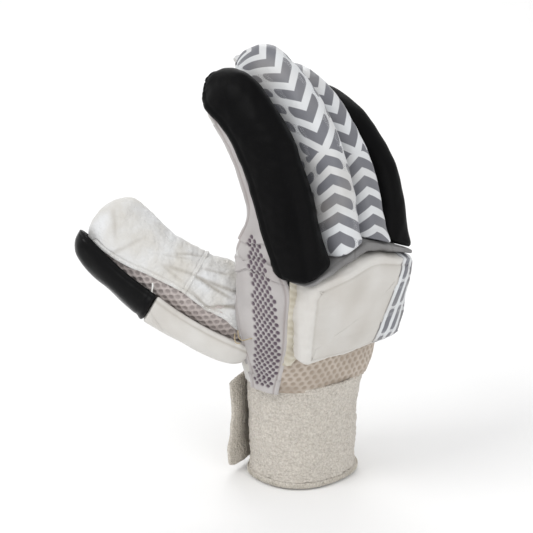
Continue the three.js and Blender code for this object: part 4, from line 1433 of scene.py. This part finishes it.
@dataclass(frozen=True)
class SideStrip:
    """The perforated knit along an outer finger, one piece from the wrist to the fingertip.

    Attributes:
        finger: the outer finger.
        across: step of the holes across the strip.
        along: step along it.
        radius: radius of a hole.
        band: place of the band's middle, as distances along the strip and shares of its width.
        reach: half width of the field of holes in mm, at distances along the strip.
        first: distance along the strip past which the holes start.
        last: distance where they end.
    """

    finger: Finger
    across: float = 4.2
    along: float = 5.0
    radius: float = 1.3
    band: tuple[tuple[float, ...], tuple[float, ...]] = (
        (0, 15, 30, 45, 68, 84, 100), (0.47, 0.53, 0.63, 0.655, 0.655, 0.58, 0.45)
    )
    reach: tuple[tuple[float, ...], tuple[float, ...]] = ((2, 12, 60, 88, 100), (6.0, 8.4, 8.8, 6.6, 3.2))
    first: float = 3.0
    last: float = 101.0

    def grid(self) -> Array:
        """The strip's outer surface, columns from its back seam to its palm seam on the index side.

        Formula: rows of the hand's outline up to 0.9 of its height and rows of the stall from 0.08 on, laid
        one after the other and smoothed along the strip.

        Returns:
            The grid of points; on the little finger it is mirrored to rise with the turn.
        """
        hand = Hand()
        at = np.linspace(-0.03, 0.9, 210)[:, None]
        k = to_tip(0.08, 0.9, 270, 26)
        c = np.linspace(0, 1, 500)[None, :]
        low = blend(HAND_ROWS, "back", at) * (1 - c) + blend(HAND_ROWS, "palm", at) * c
        rows: Table = {
            "at": (0.0, 0.1, 0.22, 0.31, 1.0), "back": (52, 56, 62, 66, 66),
            "palm": (149, 147, 138, 122, 116)
        }
        high = blend(rows, "back", k) * (1 - c) + blend(rows, "palm", k) * c
        flip = (lambda turn: 360 - turn[:, ::-1]) if self.finger.side > 0 else (lambda turn: turn)
        grid = np.concatenate(
            [hand.point(np.radians(flip(low)), at), self.finger.stall(k, np.radians(flip(high)), 0.0, 0.04)]
        )
        grid = evened(grid, 100)
        walked = walk(grid[:, 50])
        even = np.linspace(0, walked[-1], 520)
        grid = np.stack([spots_on(even, walked, grid[:, j]) for j in range(grid.shape[1])], axis=1)
        kernel = bell(np.arange(-26, 27), 12.0)
        kernel /= kernel.sum()
        padded = np.concatenate([2 * grid[:1] - grid[26:0:-1], grid, 2 * grid[-1:] - grid[-2:-28:-1]])
        return np.apply_along_axis(lambda line: np.convolve(line, kernel, "valid"), 0, padded)

    def build(self) -> None:
        """Makes the strip: a field of punched holes between two plain borders with sewn seams."""
        grid = self.grid()
        lean = normals_of(grid)
        palm_side = arc_lengths(grid, 1)
        if self.finger.side <= 0:
            palm_side = palm_side[:, -1:] - palm_side
        width = palm_side.max(axis=1)
        v = arc_lengths(grid, 0)[:, 50][:, None]
        centre = np.interp(v[:, 0], *self.band)
        u = palm_side - (centre * width)[:, None]
        cu, cv, far = lattice(u, np.broadcast_to(v, u.shape), self.across, self.along)
        inside = (np.abs(cu) < np.interp(cv, *self.reach)) & (cv > self.first) & (cv < self.last)
        # the holes get painted shade as well as their dimples
        hole = inside * (1 - ease(self.radius * 0.75, self.radius * 1.3, far))
        rim = inside * bell(far - self.radius * 1.75, 0.6)
        border = np.minimum(palm_side, width[:, None] - palm_side)
        seam = 0.6 * bell(border - 2.6, 0.55)
        ridge = 0.35 * bell(border - 1.0, 0.9)
        uneven = 0.35 * swell(grid, 22, 102) + 0.12 * swell(grid, 7, 103)
        shift = uneven + ridge - seam - 0.85 * hole + 0.12 * rim
        outer = grid + lean * shift[..., None]
        # painted shade in the seam grooves along both borders, with some random tone
        shade_and_tone = np.clip(0.55 * bell(border - 2.6, 0.7) + 0.1 * swell(grid, 18, 104), 0, 1)
        skin = thick_sheet(outer, 1.3, False, {"hole": hole, "shade_and_tone": shade_and_tone}, lean)
        side = "index" if self.finger.side < 0 else "little"
        made = piece(
            f"{side}_side_knit", skin, PERFORATED_KNIT, [f"{side}_side_mesh", f"{side}_stall_back"],
            "perforated_knit"
        )
        cloth(made, outer)


# Guard panel and knuckle bar.


@dataclass(frozen=True)
class GuardPanel:
    """The domed foam guard over the back of the hand, in two colours that meet at a slanted seam.

    Attributes:
        left: its edge on the index side, along Y.
        right: its edge on the little side.
        taper: how much farther in that edge lies at the bottom.
        bottom: height of its lower edge.
        thick: thickness at the rim.
        rise: how far its middle stands out past the rim.
        back: x of the hand's back under it.
        corner: rounding of its corners seen from the front.
        rim: width of the rolled rim.
        thin: its thickness at the bottom as a share of that at the shoulder.
        sag: share of its thickness that it loses at the index side.
        band: width of the rings that follow its edge.
        shoulder: height of its shoulders over its lower edge.
        seam_foot: y of the slanted seam at the lower edge.
        seam_top: y of that seam at the shoulders' height.
        seam_cosine: cosine of its slant.
        clear: distance of each part's cut from the seam's plane.
    """

    left: float = -43.5
    right: float = 41.0
    taper: float = 6.0
    bottom: float = 90.0
    thick: float = 14.0
    rise: float = 5.5
    back: float = BACK_X
    corner: float = 4.2
    rim: float = 2.8
    thin: float = 0.62
    sag: float = 0.17
    band: float = 9.5
    shoulder: float = 48.0
    seam_foot: float = 7.5
    seam_top: float = 26.0
    seam_cosine: float = 0.933
    clear: float = 0.02

    def outline(self, count: int) -> Array:
        """The outline in the Y and Z plane, up the left side, along the roof, down the right and back.

        Formula: straight sides and the roof line, walked evenly and smoothed by a bell of corner's width.

        Args:
            count: points.

        Returns:
            An array of count by 2.
        """
        y = np.linspace(self.left, self.right, 200)
        side = lambda at: np.linspace(self.bottom, float(panel_top(np.array(at))), 80)
        up, down = side(self.left), side(self.right)[::-1]
        line = np.concatenate([
            np.stack([np.full(80, self.left), up], 1), np.stack([y, panel_top(y)], 1),
            np.stack([self.right - self.taper * (1 - self.share(down)), down], 1),
            np.stack([np.linspace(self.right - self.taper, self.left, 200), np.full(200, self.bottom)], 1),
        ])
        loop = np.vstack([line, line[:1]])
        walked = walk(loop)
        ring = spots_on(np.linspace(0, walked[-1], count, endpoint=False), walked, loop)
        step = walked[-1] / count
        spread = np.minimum(np.arange(count), count - np.arange(count)) * step
        weight = bell(spread, self.corner)
        weight /= weight.sum()
        return np.real(np.fft.ifft(np.fft.fft(ring, axis=0) * np.fft.fft(weight)[:, None], axis=0))

    def share(self, z: Array) -> Array:
        """Share of the way from the panel's foot up to its shoulder."""
        return np.clip((z - self.bottom) / self.shoulder, 0, 1)

    def _thinned(self, y: Array, z: Array) -> Array:
        """Share of the thickness that is left: less to the lower edge, and less to the index side."""
        lee = 1 - ease(self.left, self.left + 30, y)
        return (self.thin + (1 - self.thin) * ease(0, 1, self.share(z))) * (1 - self.sag * lee)

    def _bulge(self, y: Array) -> Array:
        """How far the face stands out at a place across: a parabola, highest at the middle."""
        middle = (self.left + self.right) / 2
        return self.rise * (1 - ((y - middle) / (self.right - middle)) ** 2)

    def surface(self) -> tuple[Array, Array, Array]:
        """The whole pad as rings from its back edge over the rim to the middle of its face.

        Formula: the rings' inset and height follow the side wall, a quarter-round rim and the domed face.

        Returns:
            The rings, each ring's inset in mm and the distance from the rim's outer edge at each corner.
        """
        count = 420
        edge = self.outline(count)
        ahead = np.roll(edge, -1, axis=0) - np.roll(edge, 1, axis=0)
        inward = unit(np.stack([ahead[:, 1], -ahead[:, 0]], 1))
        # heights as shares of the thickness: the side wall runs from low to high, the rim closes the rest
        low, high = -0.45, 0.68
        a = np.linspace(0, np.pi / 2, 12)[1:]
        wall = np.linspace(low, high, 26)
        waist = 1.8 * (high - wall) - 0.9 * np.sin(np.pi * (wall - low) / (high - low))
        flat = np.linspace(self.rim + 0.5, self.band, 10)
        inset = np.r_[3.6, 2.6, waist, self.rim * (1 - np.cos(a)), flat]
        height = np.r_[-0.5, -0.49, wall, high + (1 - high) * np.sin(a), np.ones(10)][:, None]
        rings = edge[None] + inward[None] * inset[:, None, None]
        y, z = rings[..., 0], rings[..., 1]
        share = np.clip(inset / self.rim, 0, 1)[:, None] * np.ones((1, count))
        raised = self.thick * height + self._bulge(y) * ease(0.0, 1.0, share)
        rows = stack(self.back + raised * np.where(height > 0, self._thinned(y, z), 1.0), y, z)
        centre = np.array([-3.0, 116.0])
        k = np.linspace(0, 1, 44)[1:-1, None, None]
        inner = rings[-1][None] * (1 - k) + centre * k
        y, z = inner[..., 0], inner[..., 1]
        face = stack(self.back + (self.thick + self._bulge(y)) * self._thinned(y, z), y, z)
        walked = np.r_[inset, inset[-1] + np.linalg.norm(inner[:, 0] - rings[-1, 0], axis=-1)]
        grid = np.concatenate([rows, face])
        return grid, walked, np.broadcast_to(walked[:, None], grid.shape[:2])

    def build(self) -> None:
        """Makes both parts of the pad, split at the slanted seam, and the stitches along its edge."""
        grid, walked, depth = self.surface()
        normal = normals_of(grid)
        y, z = grid[..., 1], grid[..., 2]
        seam_y = self.seam_foot + (self.seam_top - self.seam_foot) * (z - self.bottom) / self.shoulder
        off = (y - seam_y) * self.seam_cosine
        on_face = ease(2.0, 3.4, depth)
        line = 3.4 + 2.4 * (1 - ease(6.5, 9.5, panel_top(y) - z))
        groove = 0.5 * bell(depth - line, 0.7)
        split = (0.7 * bell(off, 0.9) + 0.3 * bell(off - 4.2, 0.7)) * on_face
        pucker = 0.14 * np.sin(z * 2 * np.pi / 6 + 1.1 * swell(grid, 18, 110)) * bell(y - self.left, 12)
        side_wall = (1 - on_face) * (0.5 * swell(grid, 18, 111) + 0.12 * swell(grid, 7, 112))
        puff = 0.5 * np.sin(np.pi * np.clip((depth - line) / 16, 0, 1)) * on_face
        shift = 0.3 * swell(grid, 24, 113) + puff + side_wall + pucker - groove - split
        fade = np.clip(1 - (walked - self.band) / 42, 0, 1)[:, None]
        grid = grid + normal * (shift * np.where(depth > self.band, fade, 1.0))[..., None]
        # darker tint of the index face; painted shade in the groove, the slanted seam and by the hand;
        # random tone
        shade_and_tone = (
            0.22 * ease(-0.4, 0.5, depth - line) * (off < 0)
            + 0.25 * bell(depth - line, 0.6)
            + 0.4 * bell(off, 0.9) * on_face
            + 0.1 * swell(grid, 20, 114)
            + 0.25 * (1 - ease(-3, 1.5, grid[..., 0] - self.back))
        )
        # the print's rows run along the seam, and its chevrons never turn over
        up = grid[..., 2] - 86
        printing = stack(1.3 * up, 2.05 * off + 1.43 * up + 3.0, 0 * off - 1000.0)
        skin = capped_skin(grid, {"shade_and_tone": np.clip(shade_and_tone, 0, 1), "cloth": printing})
        for name, finish, node, keep, slot in (
            ("guard_panel_white", WHITE_PU, "back_panel", -1, "white_pu"),
            ("guard_panel_printed", PRINTED_PU, "back_panel_print", 1, "printed_pu"),
        ):
            made = piece(name, skin, finish, [node], slot)
            self._cut(made, keep)
        # the zigzag runs up the index side, where the rim starts to round
        row = int(np.argmin(np.abs(walked - 2.6)))
        line, up = grid[row, 12:96], normal[row, 12:96]
        run = stitch_row(line + up * 0.1, up, 2.0, 0.24, 2.2, 0.8)
        piece("guard_panel_zigzag", run, THREAD_CREAM)

    def _cut(self, made: bpy.types.Object, keep: int) -> None:
        """Cuts the pad beside the slanted seam and closes the cut; keep is -1 for the index side."""
        mesh = bmesh.new()
        mesh.from_mesh(made.data)
        slant = self.seam_top - self.seam_foot
        away = np.array([0.0, self.shoulder, -slant]) / math.hypot(self.shoulder, slant)
        start = np.array([0.0, self.seam_foot, self.bottom]) + away * keep * self.clear
        cut = bmesh.ops.bisect_plane(
            mesh, geom=mesh.verts[:] + mesh.edges[:] + mesh.faces[:], dist=1e-7,
            plane_co=(start * MM).tolist(), plane_no=away.tolist(),
            clear_outer=keep < 0, clear_inner=keep > 0,
        )
        edges = [e for e in cut["geom_cut"] if isinstance(e, bmesh.types.BMEdge)]
        bmesh.ops.triangle_fill(mesh, use_beauty=True, edges=edges)
        bmesh.ops.recalc_face_normals(mesh, faces=mesh.faces[:])
        mesh.to_mesh(made.data)
        mesh.free()


@dataclass(frozen=True)
class KnuckleBar:
    """The padded welt that follows the panel's roof line.

    Attributes:
        left: its end on the index side.
        right: its end on the little side.
        deep: how far it stands off the hand's back.
        roundness: exponent of its section's two directions.
    """

    left: float = -47.0
    right: float = 44.0
    deep: float = 15.0
    roundness: float = 0.62

    def build(self) -> None:
        """Makes the welt: a rolled body with rounded ends, a lip along it and two creases across."""
        k = np.r_[
            0.0, 0.004, 0.012, 0.025, np.linspace(0.045, 0.955, 190), 0.975, 0.988, 0.996, 1.0
        ][:, None]
        y = self.left + (self.right - self.left) * k
        swelling = np.sqrt(np.clip(0.06 + np.minimum(k, 1 - k) / 0.045, 0, 1))
        low, high = panel_top(y) + 0.2, bar_top(y) - 0.2
        middle = (low + high) / 2
        bulge = 1 - 0.18 * ((y - (self.left + self.right) / 2) / (self.right - self.left)) ** 2 * 4
        arc = np.linspace(0, 2 * np.pi, 60, endpoint=False)[None, :]
        share = 0.27 + 0.73 * power(np.cos(arc), self.roundness)
        z = middle + (high - low) / 2 * power(np.sin(arc), self.roundness) * swelling
        x = BACK_X + self.deep * bulge * share * (0.55 + 0.45 * swelling)
        grid = stack(x, y + 0 * arc, z)
        outward = unit(grid - grid.mean(axis=1, keepdims=True))
        fold = 0.5 * bell(y + 12 - 2.2 * np.sin(arc), 0.8) + 0.35 * bell(y - 21 + 2 * np.sin(arc), 0.9)
        lip = 0.45 * bell(arc - 0.75, 0.13)
        grid = grid + outward * (
            0.3 * swell(grid, 12, 120) + 0.12 * swell(grid, 5, 121) - fold - lip
        )[..., None]
        under = 1 - ease(0, 5, grid[..., 0] - 40)
        # painted shade along the lip, in the folds and on the underside by the hand's back, with some
        # random tone
        shade_and_tone = np.clip(0.6 * lip + 0.8 * fold + 0.1 * swell(grid, 16, 122) + 0.5 * under, 0, 1)
        made = piece("knuckle_welt", capped_skin(grid, {"shade_and_tone": shade_and_tone}), GREY_PU, ["knuckle_bar"], "grey_pu")


# Thumb.


@dataclass(frozen=True)
class Thumb:
    """The thumb: a net tube under a leather patch, a leather tip and two padded rolls along its back.

    Attributes:
        width: half width across the palm plane.
        depth: half depth at right angles to it.
        pad: thickness of the pads at the middle.
        split: share of the length where the pads meet.
        bow: how far its middle bends to the pads.
    """

    width: float = 19.0
    depth: float = 15.5
    pad: float = 13.5
    split: float = 0.445
    bow: float = 5.0

    ROOT = np.array([-17.0, -32.0, 107.0])
    TIP = np.array([-94.0, -92.0, 163.5])
    LENGTH = 112.8
    # Direction that the thumb's seen side faces, before it is turned square to the thumb.
    SEEN = np.array([0.672, -0.672, 0.309])
    # Share where the thumb's end starts to round, and the least size that is left at its tip.
    DOME = 0.8
    LEAST = 0.03
    # Exponents of the outline and of the pads' backs.
    OVAL = 0.9
    PADDED = 0.7

    def axes(self) -> tuple[Array, Array, Array]:
        """Directions along the thumb, out to its seen side and out to its pads."""
        along = unit(self.TIP - self.ROOT)
        side = unit(self.SEEN - along * (self.SEEN @ along))
        out = np.cross(along, side)
        return along, side, out if out[2] < 0 else -out

    def put(self, s: Array, b: Array, n: Array) -> Array:
        """A point beside the thumb's axis at a share s: b to its seen side and n to its pads, in mm."""
        _, side, out = self.axes()
        s, b, n = np.broadcast_arrays(np.asarray(s, float), b, n)
        bow = self.bow * 4 * s * (1 - s)
        on_axis = self.ROOT + (self.TIP - self.ROOT) * s[..., None]
        return on_axis + side * b[..., None] + out * (n + bow)[..., None]

    def stall(self, s: Array, turn: Array, grow: Array | float = 0.0) -> Array:
        """The thumb's outline: a superellipse, turn 0 away from the pads, a quarter turn to the seen side.

        Args:
            s: share of the length.
            turn: angle in radians.
            grow: distance outside it, mm.

        Returns:
            The points.
        """
        d = dome(s, self.DOME, self.LEAST)
        c, t = np.cos(turn), np.sin(turn)
        wide = np.where(c >= 0, blend(THUMB_ROWS, "away", s), blend(THUMB_ROWS, "pads", s))
        half = self.width * wide * d + grow
        deep = self.depth * blend(THUMB_ROWS, "depth", s) * d + grow
        return self.put(s, power(t, self.OVAL) * deep, -power(c, self.OVAL) * half)

    def beyond(self, s: Array, low: float = -math.inf, high: float = math.inf) -> Array:
        """How far the axis runs on from the share clipped between low and high."""
        return self.put(s, 0 * s, 0 * s) - self.put(np.clip(s, low, high), 0 * s, 0 * s)

    def blunt(self, s: Array) -> Array:
        """How far the thumb's rounded end is drawn back: 0.3 of the way past the dome's start."""
        return self.beyond(s, high=self.DOME) * 0.3

    def roll(self, s: Array, c: Array) -> Array:
        """A pad's rounded back from the seen side (c 0) over its crest to the far side (c 1)."""
        b = power(np.cos(np.pi * c), self.PADDED) * self.depth * blend(PAD_ROWS, "half", s)
        chord = self.width * blend(PAD_ROWS, "chord", s)
        pads = self.width * blend(THUMB_ROWS, "pads", np.minimum(s, 1))
        crest = pads + self.pad * blend(PAD_ROWS, "crest", s)
        return self.put(s, b, chord + (crest - chord) * np.abs(np.sin(np.pi * c)) ** self.PADDED)

    def under(self, s: Array, e: Array) -> Array:
        """A pad's hollow side along the thumb, from the far side back to the seen side."""
        half = self.width * blend(THUMB_ROWS, "pads", s) * dome(s, self.DOME, self.LEAST) + GAP
        share = np.clip(self.width * blend(PAD_ROWS, "chord", s) / half, 0.2, 0.95)
        reach = np.pi - np.arccos(share ** (1 / self.OVAL))
        turn = 2 * np.pi - reach + (2 * reach - 2 * np.pi) * e
        return self.stall(np.clip(s, 0, 1), turn, GAP) + self.beyond(s, 0.0, 1.0)

    def build(self) -> None:
        """Makes the net, the leathers, the pads and the threads at their seams."""
        self._net()
        self._leather()
        self._tip()
        for name, start, end, finish, slot, fold in (
            ("base", -0.14, self.split + 0.004, WHITE_PU, "white_pu", True),
            ("tip", self.split - 0.008, 0.97, BLACK_GLOSS, "black_pu", False),
        ):
            self._pad(name, start, end, finish, slot, fold)
        self._threads()

    def _net(self) -> None:
        """Makes the open net along the thumb's side: a staggered field of soft-edged cells."""
        s = np.linspace(-0.08, 0.93, 350)[:, None]
        turn = np.radians(np.linspace(78, 282, 190))[None, :]
        plain = self.stall(np.maximum(s, 0), turn, -0.5) + self.beyond(s, low=0.0) - self.blunt(s)
        u, v = arc_lengths(plain, 1), arc_lengths(plain, 0)[:, 20][:, None]
        _, _, far = lattice(u, np.broadcast_to(v, u.shape), 4.9, 7.0)
        # the cells get painted shade as well as their dimples
        hole = 1 - ease(1.0, 2.0, far)
        grid = plain + normals_of(plain) * (0.2 * swell(plain, 9, 130) - hole)[..., None]
        values = {"hole": hole, "shade_and_tone": np.clip(0.1 * swell(grid, 12, 131), 0, 1)}
        skin = thick_sheet(grid, 1.2, False, values, plain)
        made = piece("thumb_net", skin, HEX_NET, ["thumb_mesh"], "thumb_hex_mesh")
        cloth(made, grid)

    def _hem(self, s: Array) -> Array:
        """Turn of the leather's lower edge on the seen side, from its distance to the axis."""
        low = blend(THUMB_HEM, "low", s)
        half = self.width * blend(THUMB_ROWS, "pads", s) * dome(s, self.DOME, 0.2)
        return np.pi / 2 + np.arcsin(np.clip(low / half, 0, 0.95) ** (1 / self.OVAL))

    def _leather(self) -> None:
        """Makes the leather over the root half, with deep creases at the root and an overlaid seam."""
        s = np.linspace(-0.03, 0.345, 210)[:, None]
        c = np.linspace(0, 1, 200)[None, :]
        hem = self._hem(s)
        grid = self.stall(np.maximum(s, 0), -hem + 2 * hem * c, 0.75) + self.beyond(s, low=0.0)
        self._dress(grid, "thumb_root_leather_patch", ["thumb_root_leather"], 0.0)

    def _tip(self) -> None:
        """Makes the leather over the tip half: a tube that closes over the thumb's end."""
        s = to_tip(0.325, self.DOME, 190, 46)
        c = np.linspace(0, 1, 220)[None, :]
        hem = self._hem(s) + (np.pi - self._hem(s)) * ease(0.9, 0.97, s)
        grow = 1.35 * dome(s, self.DOME, self.LEAST)
        grid = self.stall(s, -hem + 2 * hem * c, grow) - self.blunt(s)
        self._dress(grid, "thumb_tip_leather_cap", ["thumb_tip_leather"], 1.0)

    def _dress(self, grid: Array, name: str, nodes: list[str], tip: float) -> None:
        """Wrinkles a leather grid, sinks its stitched edge and makes the piece; tip is 1 for the tip's."""
        normal = normals_of(grid)
        u, v = arc_lengths(grid, 1), arc_lengths(grid, 0).mean(axis=1)[:, None]
        u = u - u[:, -1:] / 2
        edge = np.minimum(u - u.min(axis=1, keepdims=True), u.max(axis=1, keepdims=True) - u)
        if tip:
            rows = [
                (25, 4, 80, 14, 1.2, 0.9), (14, 9, 62, 10, 1.1, 0.7), (30, 12, 100, 9, 1.0, 0.6),
                (20, 16, 70, 8, 1.0, 0.5), (34, 44, 30, 14, 1.3, 0.5), (24, 58, 150, 12, 1.4, 0.5)
            ]
        else:
            rows = [
                (30, 6, 70, 12, 1.3, 1.3), (22, 13, 84, 14, 1.2, 1.1), (34, 18, 60, 12, 1.2, 1.0),
                (12, 9, 100, 10, 1.2, 0.9), (26, 26, 96, 13, 1.1, 1.2), (16, 31, 76, 9, 1.0, 0.8),
                (36, 31, 110, 8, 1.0, 0.8), (24, 36, 85, 12, 1.1, 0.9)
            ]
        folds = creases(np.abs(u), np.broadcast_to(v, u.shape), rows)
        rumple = 0.42 * swell(grid, 13, 140 + int(tip)) + 0.2 * swell(grid, 5.5, 142)
        rumple = rumple + 0.1 * swell(grid, 2.6, 143, 24)
        calm = 1 - 0.5 * tip * ease(22, 40, v)
        seam = 0.5 * bell(edge - 2.4, 0.5)
        cross = 0.5 * bell(v - 2.2, 0.5) * tip
        grid = grid + normal * (rumple * calm - 0.75 * folds - seam - cross)[..., None]
        # painted shade in the creases and the sunken seam, with some random tone
        shade_and_tone = np.clip(0.5 * folds + 0.35 * seam + 0.08 * swell(grid, 22, 144), 0, 1)
        piece(name, thick_sheet(grid, 1.1, False, {"shade_and_tone": shade_and_tone}), SHEEPSKIN, nodes, "sheepskin")
        near = int(np.argmin(np.abs(edge[60, :100] - 1.2)))
        both = (near, grid.shape[1] - 1 - near)
        run = [stitch_row(grid[4:-24, j], normal[4:-24, j], 1.9, 0.2, 2.6) for j in both]
        if tip:
            run.append(stitch_row(grid[2, 20:-20], normal[2, 20:-20], 1.8, 0.22, 2.5))
        piece(name + "_stitches", run[0].joined(run[1:]), THREAD_WHITE)

    def _pad(self, name: str, start: float, end: float, finish: Finish, slot: str, fold: bool) -> None:
        """Makes one padded roll of the thumb between two shares, a U-shaped section with closed ends.

        With fold it is the white base roll, which is creased near the split.
        """
        a = np.linspace(0, np.pi / 2, 12)
        lead, tail = (3.0, 2.2) if fold else (2.2, 6.0)
        first = start + lead / self.LENGTH * (1 - np.cos(a))
        last = end - tail / self.LENGTH * (1 - np.sin(a))
        s = np.r_[first, np.linspace(first[-1], last[0], 130)[1:-1], last][:, None]
        c, e = np.linspace(0, 1, 100)[None, :], np.linspace(0, 1, 30)[None, :]
        grid = np.concatenate([self.roll(s, c), self.under(s, e)], axis=1)
        outer = grid[:, :100]
        normal = normals_of(outer)
        u, v = arc_lengths(outer, 1), arc_lengths(outer, 0)[:, 50][:, None]
        edge = np.minimum(u, u[:, -1:] - u)
        seam = 0.4 * bell(edge - 3.0, 0.6)
        wave = np.sin(2 * np.pi * v / 9.0 + 1.5 * swell(outer, 16, 150))
        pucker = (0.2 if fold else 0.06) * wave * bell(edge, 5)
        shift = 0.35 * swell(outer, 18, 151 + int(fold)) - seam + pucker
        if fold:
            shift = shift - creases(
                u, np.broadcast_to(v, u.shape),
                [(14, v.max() - 8, 118, 9, 1.0, 1.1), (22, v.max() - 3, 96, 8, 1.2, 0.7)]
            )
        else:
            shift = shift + 0.5 * bell(v - 2.5, 1.6) - 0.4 * bell(v - 6, 1.4)
        grid[:, :100] = outer + normal * shift[..., None]
        # both ends draw in to a small ring round the section's middle
        inside = self.width * blend(PAD_ROWS, "chord", s) + 0.45 * self.pad * blend(PAD_ROWS, "crest", s)
        heart = self.put(s, 0 * s, inside)
        low = np.sin(np.linspace(0.2, np.pi / 2, 12)) ** 0.8
        share = np.ones(len(s))
        share[:12], share[-12:] = low, low[::-1]
        grid = heart + (grid - heart) * share[:, None, None]
        shade_and_tone = np.zeros(grid.shape[:2])
        # painted shade in the seam groove, with some random tone; the black tip roll's finish leaves it out
        shade_and_tone[:, :100] = np.clip(0.5 * bell(edge - 3.0, 0.7) + 0.1 * swell(outer, 24, 155), 0, 1)
        made = piece(
            f"thumb_{name}_roll", capped_skin(grid, {"shade_and_tone": shade_and_tone}), finish, [f"thumb_{name}_pad"], slot
        )

    def _threads(self) -> None:
        """Makes the white knot at the split and the two loose beige ends at the thumb's root."""
        t = np.linspace(0, 1, 40)
        knot = self.put(0.45 + 0.05 * t, 14.2 + 0.9 * np.sin(np.pi * t), 17.5 - 7 * t + 1.5 * np.sin(5 * t))
        loose = [
            self.put(-0.005 - 0.05 * t, 17 + 6 * t - 3 * t**2, 15 + 5 * t + 2.2 * np.sin(3.4 * t)),
            self.put(-0.01 - 0.085 * t, 16 + 7 * t, 12.5 + 3.2 * np.sin(4 * t) + 4 * t),
        ]
        piece("thumb_thread_knot", tube_skin(knot, 0.55, 8), THREAD_WHITE)
        piece(
            "thumb_thread_ends", tube_skin(loose[0], 0.33, 6).joined([tube_skin(loose[1], 0.3, 6)]),
            THREAD_BEIGE
        )


# Studio.


@dataclass(frozen=True)
class Studio:
    """Floor, light and camera.

    Attributes:
        target: the point in the middle of the picture, mm.
        ahead: the camera's viewing direction.
        distance: distance of the camera from the target, mm.
        field: width of the view, degrees.
        sky: strength of the even light from all sides.
    """

    target: tuple[float, float, float] = (-42.945, 11.380, 118.226)
    ahead: tuple[float, float, float] = (-0.6725, 0.6725, -0.3090)
    distance: float = 1250.0
    field: float = 15.06
    sky: float = 0.72

    def build(self) -> None:
        """Sets up a white paper sweep, a bright even sky, three soft lamps and the camera."""
        scene = bpy.context.scene
        scene.view_settings.view_transform = "Standard"
        world = bpy.data.worlds.new("studio_sky")
        world.use_nodes = True
        even = world.node_tree.nodes["Background"]
        even.inputs["Color"].default_value = (1.0, 1.0, 1.0, 1.0)
        even.inputs["Strength"].default_value = self.sky
        scene.world = world
        self._floor()
        self._lamp("key_softbox", (-250, -950, 1150), 700, 6.6)
        self._lamp("fill_softbox", (1200, -250, 500), 900, 3.0)
        self._lamp("rim_softbox", (-800, 700, 900), 700, 4.0)
        camera = bpy.data.cameras.new("camera")
        camera.sensor_width = 36.0
        camera.angle = math.radians(self.field)
        camera.clip_start, camera.clip_end = 0.01, 50.0
        camera.dof.use_dof = False
        made = bpy.data.objects.new("camera", camera)
        bpy.context.collection.objects.link(made)
        ahead = Vector(self.ahead).normalized()
        made.location = (Vector(self.target) - ahead * self.distance) * MM
        made.rotation_euler = ahead.to_track_quat("-Z", "Y").to_euler()
        scene.camera = made

    def _floor(self) -> None:
        """Makes the paper: flat under the glove, then curved up behind it as a quarter round."""
        a = np.linspace(0, np.pi / 2, 24)
        run = np.r_[-2600.0, 0.0, 900 + 900 * np.sin(a), 1800.0]
        rise = np.r_[0.0, 0.0, 900 * (1 - np.cos(a)), 3200.0]
        across = np.linspace(-3200, 3200, 9)[None, :]
        way, side = np.array([-0.7071, 0.7071, 0.0]), np.array([0.7071, 0.7071, 0.0])
        level = np.array([0, 0, 1.0]) * (rise - 0.8)[:, None, None]
        grid = way * run[:, None, None] + side * across[..., None] + level
        mesh = bpy.data.meshes.new("paper_sweep")
        mesh.from_pydata((grid.reshape(-1, 3) * MM).tolist(), [], _quads(len(run), 9, False).tolist())
        mesh.polygons.foreach_set("use_smooth", np.ones(len(mesh.polygons), bool))
        mesh.materials.append(PAPER.material())
        made = bpy.data.objects.new("paper_sweep", mesh)
        bpy.context.collection.objects.link(made)

    def _lamp(self, name: str, place: tuple[float, float, float], size: float, watts: float) -> None:
        """Makes one square soft lamp that faces the glove, from its place and side in mm and its power."""
        light = bpy.data.lights.new(name, "AREA")
        light.size = size * MM
        light.energy = watts
        made = bpy.data.objects.new(name, light)
        bpy.context.collection.objects.link(made)
        spot = Vector(place) * MM
        made.location = spot
        made.rotation_euler = (Vector(self.target) * MM - spot).to_track_quat("-Z", "Y").to_euler()


# Assembly.

# Turns in degrees of the two seams of a stall's leather, by the finger's free side.
STALL_SEAMS = {-1: (120, 279), 0: (81, 279), 1: (81, 240)}
FINGERS = (
    Finger("index", -1.5, base=0.45, lean=-2, curl=60, share=0.88, side=-1, flank=1.0, foot=1.0, trim=1.3),
    Finger(
        "middle", -0.5, base=0.5, lean=-15, curl=88, share=1.0, side=0, flank=0.0, foot=1.0, trim=4.4,
        turned=8.5
    ),
    Finger(
        "ring", 0.5, base=0.52, lean=-9, curl=82, share=0.86, side=0, flank=0.0, foot=1.0, trim=0.6,
        turned=4.0
    ),
    Finger("little", 1.5, base=0.45, lean=-6, curl=86, share=0.72, side=1, flank=0.0, foot=0.86, trim=0.4),
)


def main() -> None:
    """Builds every sub-assembly in order."""
    logging.basicConfig(level=logging.INFO, format="%(name)s %(message)s")
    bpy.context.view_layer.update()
    cuff = Cuff()
    cuff.build()
    Strap().build(cuff)
    Hand().build()
    for finger in FINGERS:
        inner = finger.side == 0
        finger.build_roll(PRINTED_PU if inner else BLACK_PU, "printed_pu" if inner else "black_pu")
        finger.build_front(*STALL_SEAMS[finger.side])
        if inner:
            finger.build_back()
        else:
            SideStrip(finger).build()
    GuardPanel().build()
    KnuckleBar().build()
    Thumb().build()
    Studio().build()


if __name__ == "__main__":
    main()
